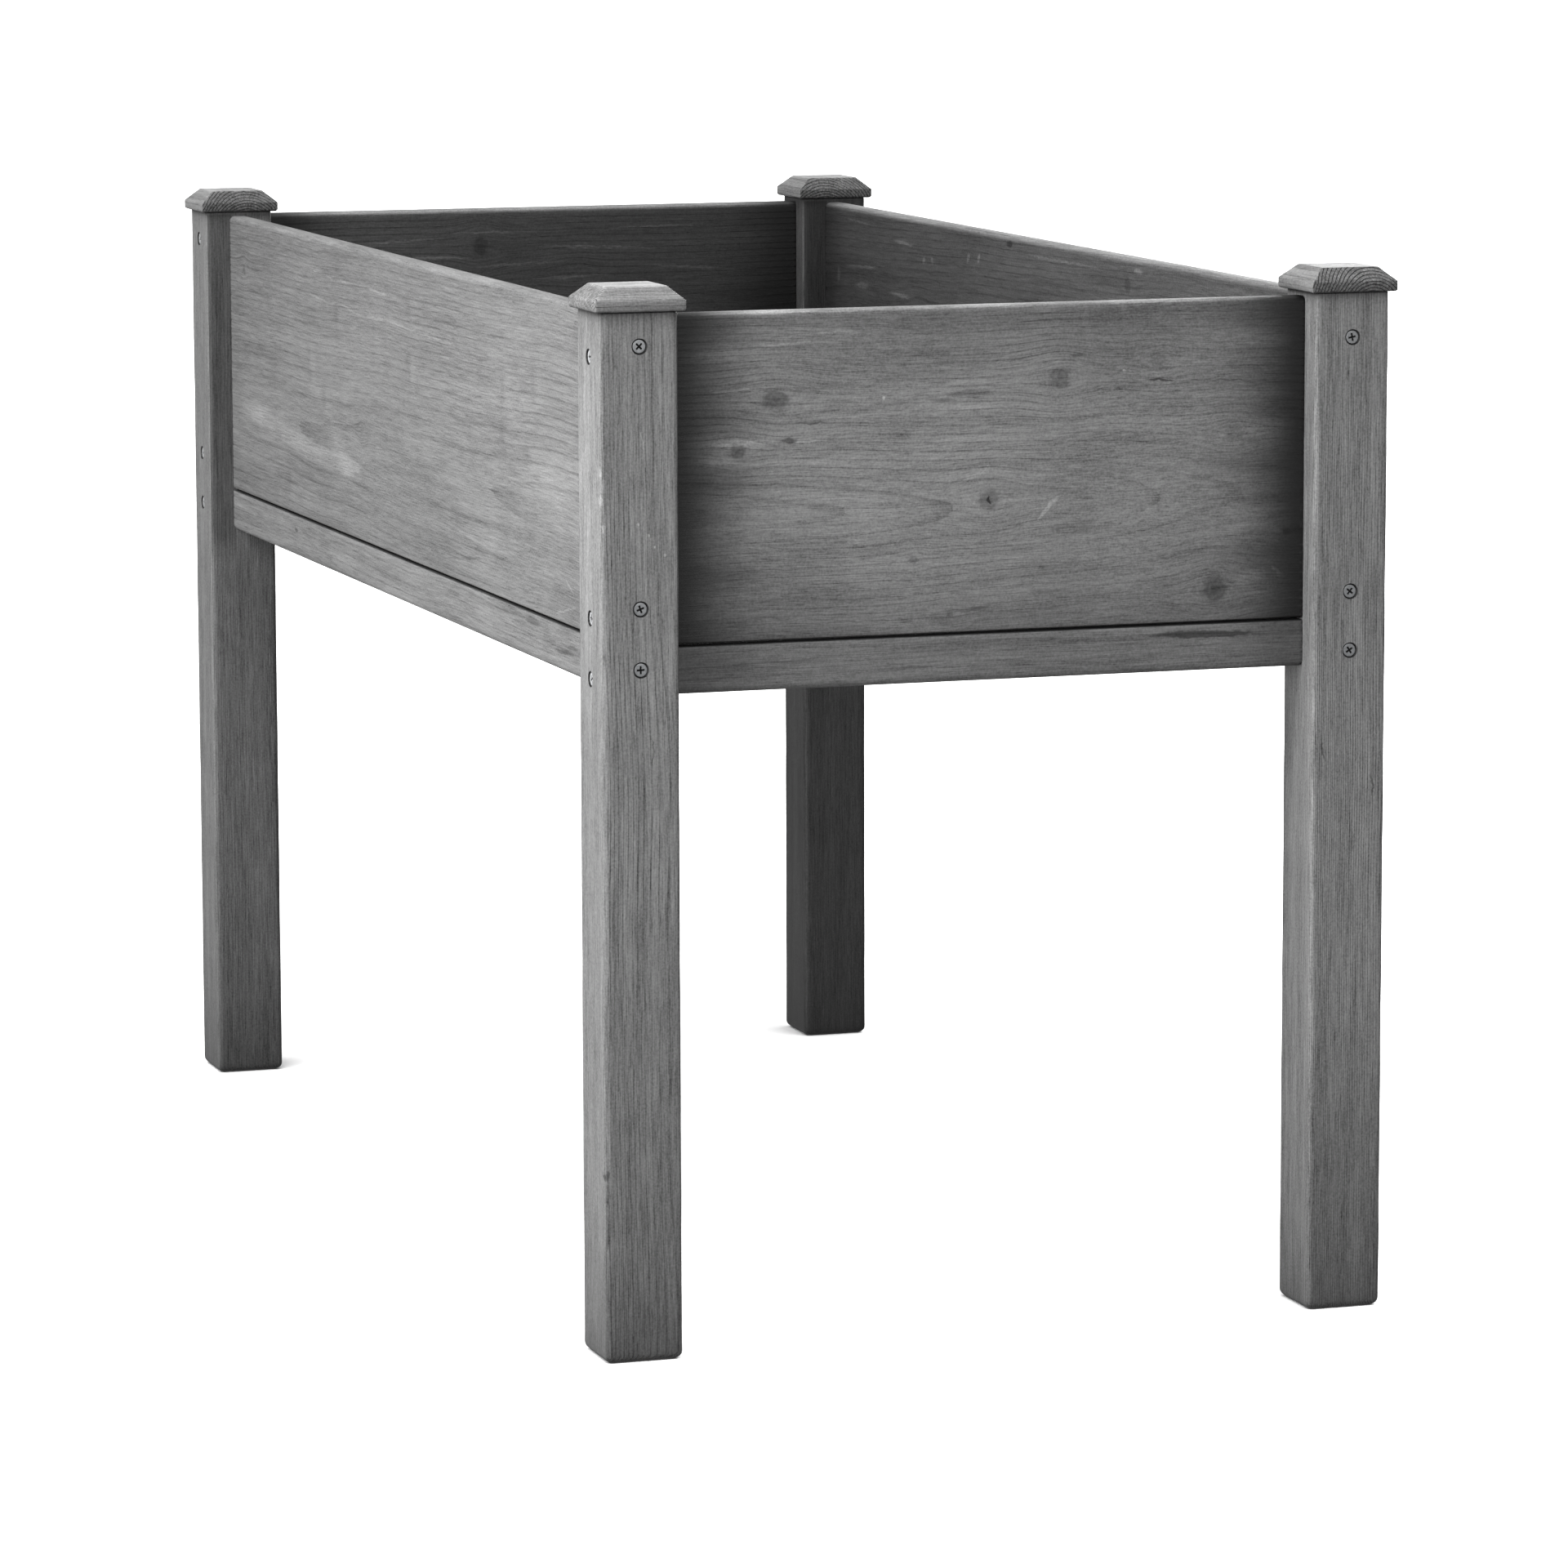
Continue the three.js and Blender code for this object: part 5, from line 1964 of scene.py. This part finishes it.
@dataclass
class Planter:
    """The whole planter: corners, walls and floor.

    Attributes:
        post_finish: the finish of the posts.
        cap_finish: the finish of the caps.
        panel_finish: the finish of the wall boards.
        sawn_finish: the finish of the floor.
        wall_arris: radius of a wall's outermost arrises, its upper and its lower edge.
        joint_arris: radius of the arrises where panel and rail meet.
        screws: its screws, filled in as they are built.
    """

    post_finish: StainedWood = StainedWood(
        "stained_planed_fir_post", "#8f8f8f", ring_spacing=1.5, ring_depth=0.52, pores=2.9
    )
    cap_finish: StainedWood = StainedWood(
        "stained_planed_fir_cap", "#9c9c9c", 2.3, 0.5, torn=3.6, torn_scale=560, roughness=0.42
    )
    panel_finish: StainedWood = StainedWood("stained_planed_fir_board", "#8f8f8f", 5.2, 0.3)
    sawn_finish: StainedWood = StainedWood(
        "stained_sawn_fir_floor", "#6b6b6b", pores=2.4, roughness=0.7, relief=0.7
    )
    wall_arris: float = 4.5 * MM
    joint_arris: float = 1.6 * MM
    screws: list[Screw] = field(default_factory=list)

    def build(self) -> None:
        """Builds every piece in the order that a joiner would."""
        self._screws()
        self._corners()
        self._walls()
        self._floor()
        dowel = Beech().build()
        for corner in CORNERS:
            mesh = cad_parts[f"cap_dowel_{corner}"].data
            mesh.materials.clear()
            mesh.materials.append(dowel)

    def _screws(self) -> None:
        """The screws, each left turned as the driver stopped."""
        turns = {"front_right_into_front": (45, 20, 2), "back_right_into_back": (12, 52, 33)}
        # Painted light: screws whose heads face front and back get a brighter copy of the plate.
        bright = ZincPlate("lit_copy_zinc_plated_steel", "#e2e4e6", metal=0.15)
        plates = {0: ZincPlate().build(), 1: bright.build()}
        draw = np.random.default_rng(5)
        for node in sorted(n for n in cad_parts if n.startswith("screw_")):
            joint, level = node.removeprefix("screw_").rsplit("_", 1)
            turn = float(draw.uniform(0, 90))
            if joint in turns:
                turn = turns[joint][LEVELS.index(level)]
            screw = Screw(node, turn)
            screw.build(plates[screw.axis])
            self.screws.append(screw)

    def _corners(self) -> None:
        """The posts and their caps."""
        plain_finish = self.post_finish.build()
        cap_finish = self.cap_finish.build()
        for corner in CORNERS:
            own = [s for s in self.screws if s.node.startswith(f"screw_{corner}_")]
            finish = plain_finish
            if corner in POST_MARKS:
                finish = self.post_finish.build(Axis.X, self._on_post(corner, POST_MARKS[corner]))
            Post(corner, **POSTS[corner]).build(finish, own)
            Cap(corner, **CAPS[corner]).build(cap_finish)

    @staticmethod
    def _on_post(corner: str, marks: tuple[Mark, ...]) -> PlacedMarks:
        """Each mark with its middle on the post's right face."""
        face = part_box(f"post_{corner}")[1].x
        return tuple((mark, Vector((face, mark.along * MM, mark.up * MM))) for mark in marks)

    def _walls(self) -> None:
        """The panels over their rails."""
        for wall in WALLS:
            panel = {"edge_darkening": 0.1, "painted_top_light": 0.3, "marks": PANEL_MARKS[wall], **PANELS[wall]}
            rail_marks = RAIL_MARKS.get(wall, ())
            rail = {"pith": (-70, 60), "lean": (4, 3), "marks": rail_marks, **RAILS[wall]}
            for board in (
                Board(f"panel_{wall}", wall, self.joint_arris, self.wall_arris, **panel),
                Board(f"rail_{wall}", wall, self.wall_arris, self.joint_arris, **rail),
            ):
                board.build(self.panel_finish, self.screws)

    def _floor(self) -> None:
        """The battens, the bearer and the slats."""
        sawn = self.sawn_finish.build()
        for number, wall in enumerate(WALLS):
            grain = Axis.X if wall in ("front", "back") else Axis.Y
            FloorPiece(f"batten_{wall}", grain, f"{wall}_floor_batten", 400 + number).build(sawn)
        FloorPiece("floor_bearer", Axis.X, "middle_floor_bearer", 410).build(sawn)
        slats = sorted(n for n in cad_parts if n.startswith("floor_slat_"))
        for number, node in enumerate(slats):
            name = f"bed_slat_{node.rsplit('_', 1)[1]}"
            FloorPiece(node, Axis.Y, name, 420 + number).build(sawn)


# --- Studio ----------------------------------------


@dataclass(frozen=True)
class Softbox:
    """A square studio light, placed round the planter and aimed at it.

    Attributes:
        name: its name.
        azimuth: where it stands, in degrees round from the front towards the right.
        elevation: how high it stands, in degrees.
        distance: metres from what it is aimed at.
        size: its side, in metres.
        brightness: what a white card facing it would show.
        aim: the point that it is aimed at.
    """

    name: str
    azimuth: float
    elevation: float
    distance: float
    size: float
    brightness: float
    aim: tuple[float, float, float] = (0.0, 0.0, 0.5)

    def build(self) -> bpy.types.Object:
        """Makes the light. A white card at distance d shows power / (pi^2 d^2).

        Returns:
            The light, linked to the scene.
        """
        lamp = bpy.data.lights.new(self.name, "AREA")
        lamp.shape = "SQUARE"
        lamp.size = self.size
        lamp.energy = self.brightness * math.pi**2 * self.distance**2
        box = bpy.data.objects.new(self.name, lamp)
        back = direction(self.azimuth, self.elevation)
        box.location = Vector(self.aim) + back * self.distance
        box.rotation_mode = "QUATERNION"
        box.rotation_quaternion = (-back).to_track_quat("-Z", "Y")
        bpy.context.scene.collection.objects.link(box)
        return box


def direction(azimuth: float, elevation: float) -> Vector:
    """Points towards an azimuth and an elevation.

    Args:
        azimuth: degrees round from the front towards the right.
        elevation: degrees up.

    Returns:
        The unit vector that points there.
    """
    a, e = math.radians(azimuth), math.radians(elevation)
    return Vector((math.sin(a) * math.cos(e), -math.cos(a) * math.cos(e), math.sin(e)))


@dataclass(frozen=True)
class Studio:
    """A pale floor, soft lights and the camera.

    Attributes:
        lights: the softboxes.
        ambient: brightness of the light from all round.
        gloss: brightness of the surround in the wood's sheen.
        floor_half: half the floor's side, in metres.
        floor_colour: the floor's colour, sRGB.
        floor_light: what the floor's own soft light makes a white card show.
        camera_place: where the camera stands, in metres.
        azimuth: the way back along its view, in degrees.
        elevation: how far it looks down, in degrees.
        roll: its lean, in degrees.
        lens: focal length, in millimetres on a 36 mm frame.
    """

    lights: tuple[Softbox, ...] = (
        Softbox("key_light", 12, 5, 2.6, 1.2, 0.74, (0.4, -0.2, 0.35)),
        Softbox("front_light", 10, 40, 2.7, 1.2, 0.72, (0.4, -0.2, 0.5)),
        Softbox("side_light", 92, 16, 2.9, 1.2, 0.47, (0.6, 0.0, 0.5)),
        Softbox("top_light", 90, 89, 2.4, 1.5, 0.55, (0.2, 0.0, 0.6)),
        Softbox("back_light", 222, 24, 3.2, 1.4, 0.95, (-0.2, 0.1, 0.4)),
    )
    ambient: float = 0.05
    gloss: float = 0.42
    floor_half: float = 60.0
    floor_colour: str = "#f2f2f2"
    floor_light: float = 3.2
    camera_place: tuple[float, float, float] = (5.1626, -1.6599, 1.1167)
    azimuth: float = 71.797
    elevation: float = 8.40
    roll: float = -0.148
    lens: float = 157.9

    def build(self) -> None:
        """Makes the floor, the lights, the world and the camera."""
        boxes = [light.build() for light in self.lights]
        floor = self._floor()
        self._floor_light(floor, boxes)
        self._world()
        self._camera()
        bpy.context.scene.view_settings.view_transform = "Standard"

    def _floor(self) -> bpy.types.Object:
        """Makes a wide flat sheet of matt card.

        Returns:
            The sheet, which throws no light on the planter and is not mirrored in it.
        """
        half = self.floor_half
        mesh = bpy.data.meshes.new("studio_floor")
        corners = [(-half, -half, 0), (half, -half, 0), (half, half, 0), (-half, half, 0)]
        mesh.from_pydata(corners, [], [(0, 1, 2, 3)])
        floor = bpy.data.objects.new("studio_floor", mesh)
        bpy.context.scene.collection.objects.link(floor)
        # Matt white card: an even pale ground with no sheen.
        material, tree = new_material("matt_white_card")
        surface = add_node(tree, "BsdfDiffuse", linear(self.floor_colour), 1.0)
        add_node(tree, "OutputMaterial", surface)
        mesh.materials.append(material)
        floor.visible_diffuse = False
        floor.visible_glossy = False
        return floor

    def _floor_light(self, floor: bpy.types.Object, boxes: list[bpy.types.Object]) -> None:
        """Lights the floor evenly from above by a light of its own, and keeps the softboxes off it.

        Args:
            floor: the floor.
            boxes: the softboxes.
        """
        only_floor = bpy.data.collections.new("lit_by_floor_light")
        only_floor.objects.link(floor)
        sun = bpy.data.lights.new("floor_light", "SUN")
        sun.angle = math.radians(120)
        sun.energy = self.floor_light * math.pi
        lamp = bpy.data.objects.new("floor_light", sun)
        bpy.context.scene.collection.objects.link(lamp)
        lamp.light_linking.receiver_collection = only_floor
        not_floor = bpy.data.collections.new("not_lit_by_softboxes")
        not_floor.objects.link(floor)
        not_floor.collection_objects[0].light_linking.link_state = "EXCLUDE"
        for box in boxes:
            box.light_linking.receiver_collection = not_floor

    def _world(self) -> None:
        """A plain white surround, which lights the planter only a little."""
        world = bpy.data.worlds.new("studio")
        world.use_nodes = True
        tree = world.node_tree
        tree.nodes.clear()
        glossy = add_node(tree, "LightPath", out="Is Glossy Ray")
        seen = add_node(tree, "LightPath", out="Is Camera Ray")
        in_range = {"To Min": self.ambient, "To Max": self.gloss}
        sheen = add_node(tree, "MapRange", glossy, named=in_range)
        strength = add_node(tree, "Math", sheen, seen, operation="MAXIMUM")
        add_node(tree, "OutputWorld", add_node(tree, "Background", (1, 1, 1, 1), strength))
        bpy.context.scene.world = world

    def _camera(self) -> None:
        """The camera, with no shift and no depth of field."""
        lens = bpy.data.cameras.new("camera")
        lens.sensor_width = 36.0
        lens.lens = self.lens
        lens.clip_start, lens.clip_end = 0.1, 400.0
        camera = bpy.data.objects.new("camera", lens)
        back = direction(self.azimuth, self.elevation)
        right = (-back).cross(Vector((0, 0, 1))).normalized()
        up = right.cross(-back)
        lean = math.radians(self.roll)
        across = right * math.cos(lean) + up * math.sin(lean)
        above = up * math.cos(lean) - right * math.sin(lean)
        turn = Matrix((across, above, back)).transposed().to_4x4()
        camera.matrix_world = Matrix.Translation(self.camera_place) @ turn
        bpy.context.scene.collection.objects.link(camera)
        bpy.context.scene.camera = camera


def main() -> None:
    """Builds the studio and the planter."""
    logging.basicConfig(level=logging.INFO, format="%(message)s")
    Studio().build()
    Planter().build()


if __name__ == "__main__":
    main()
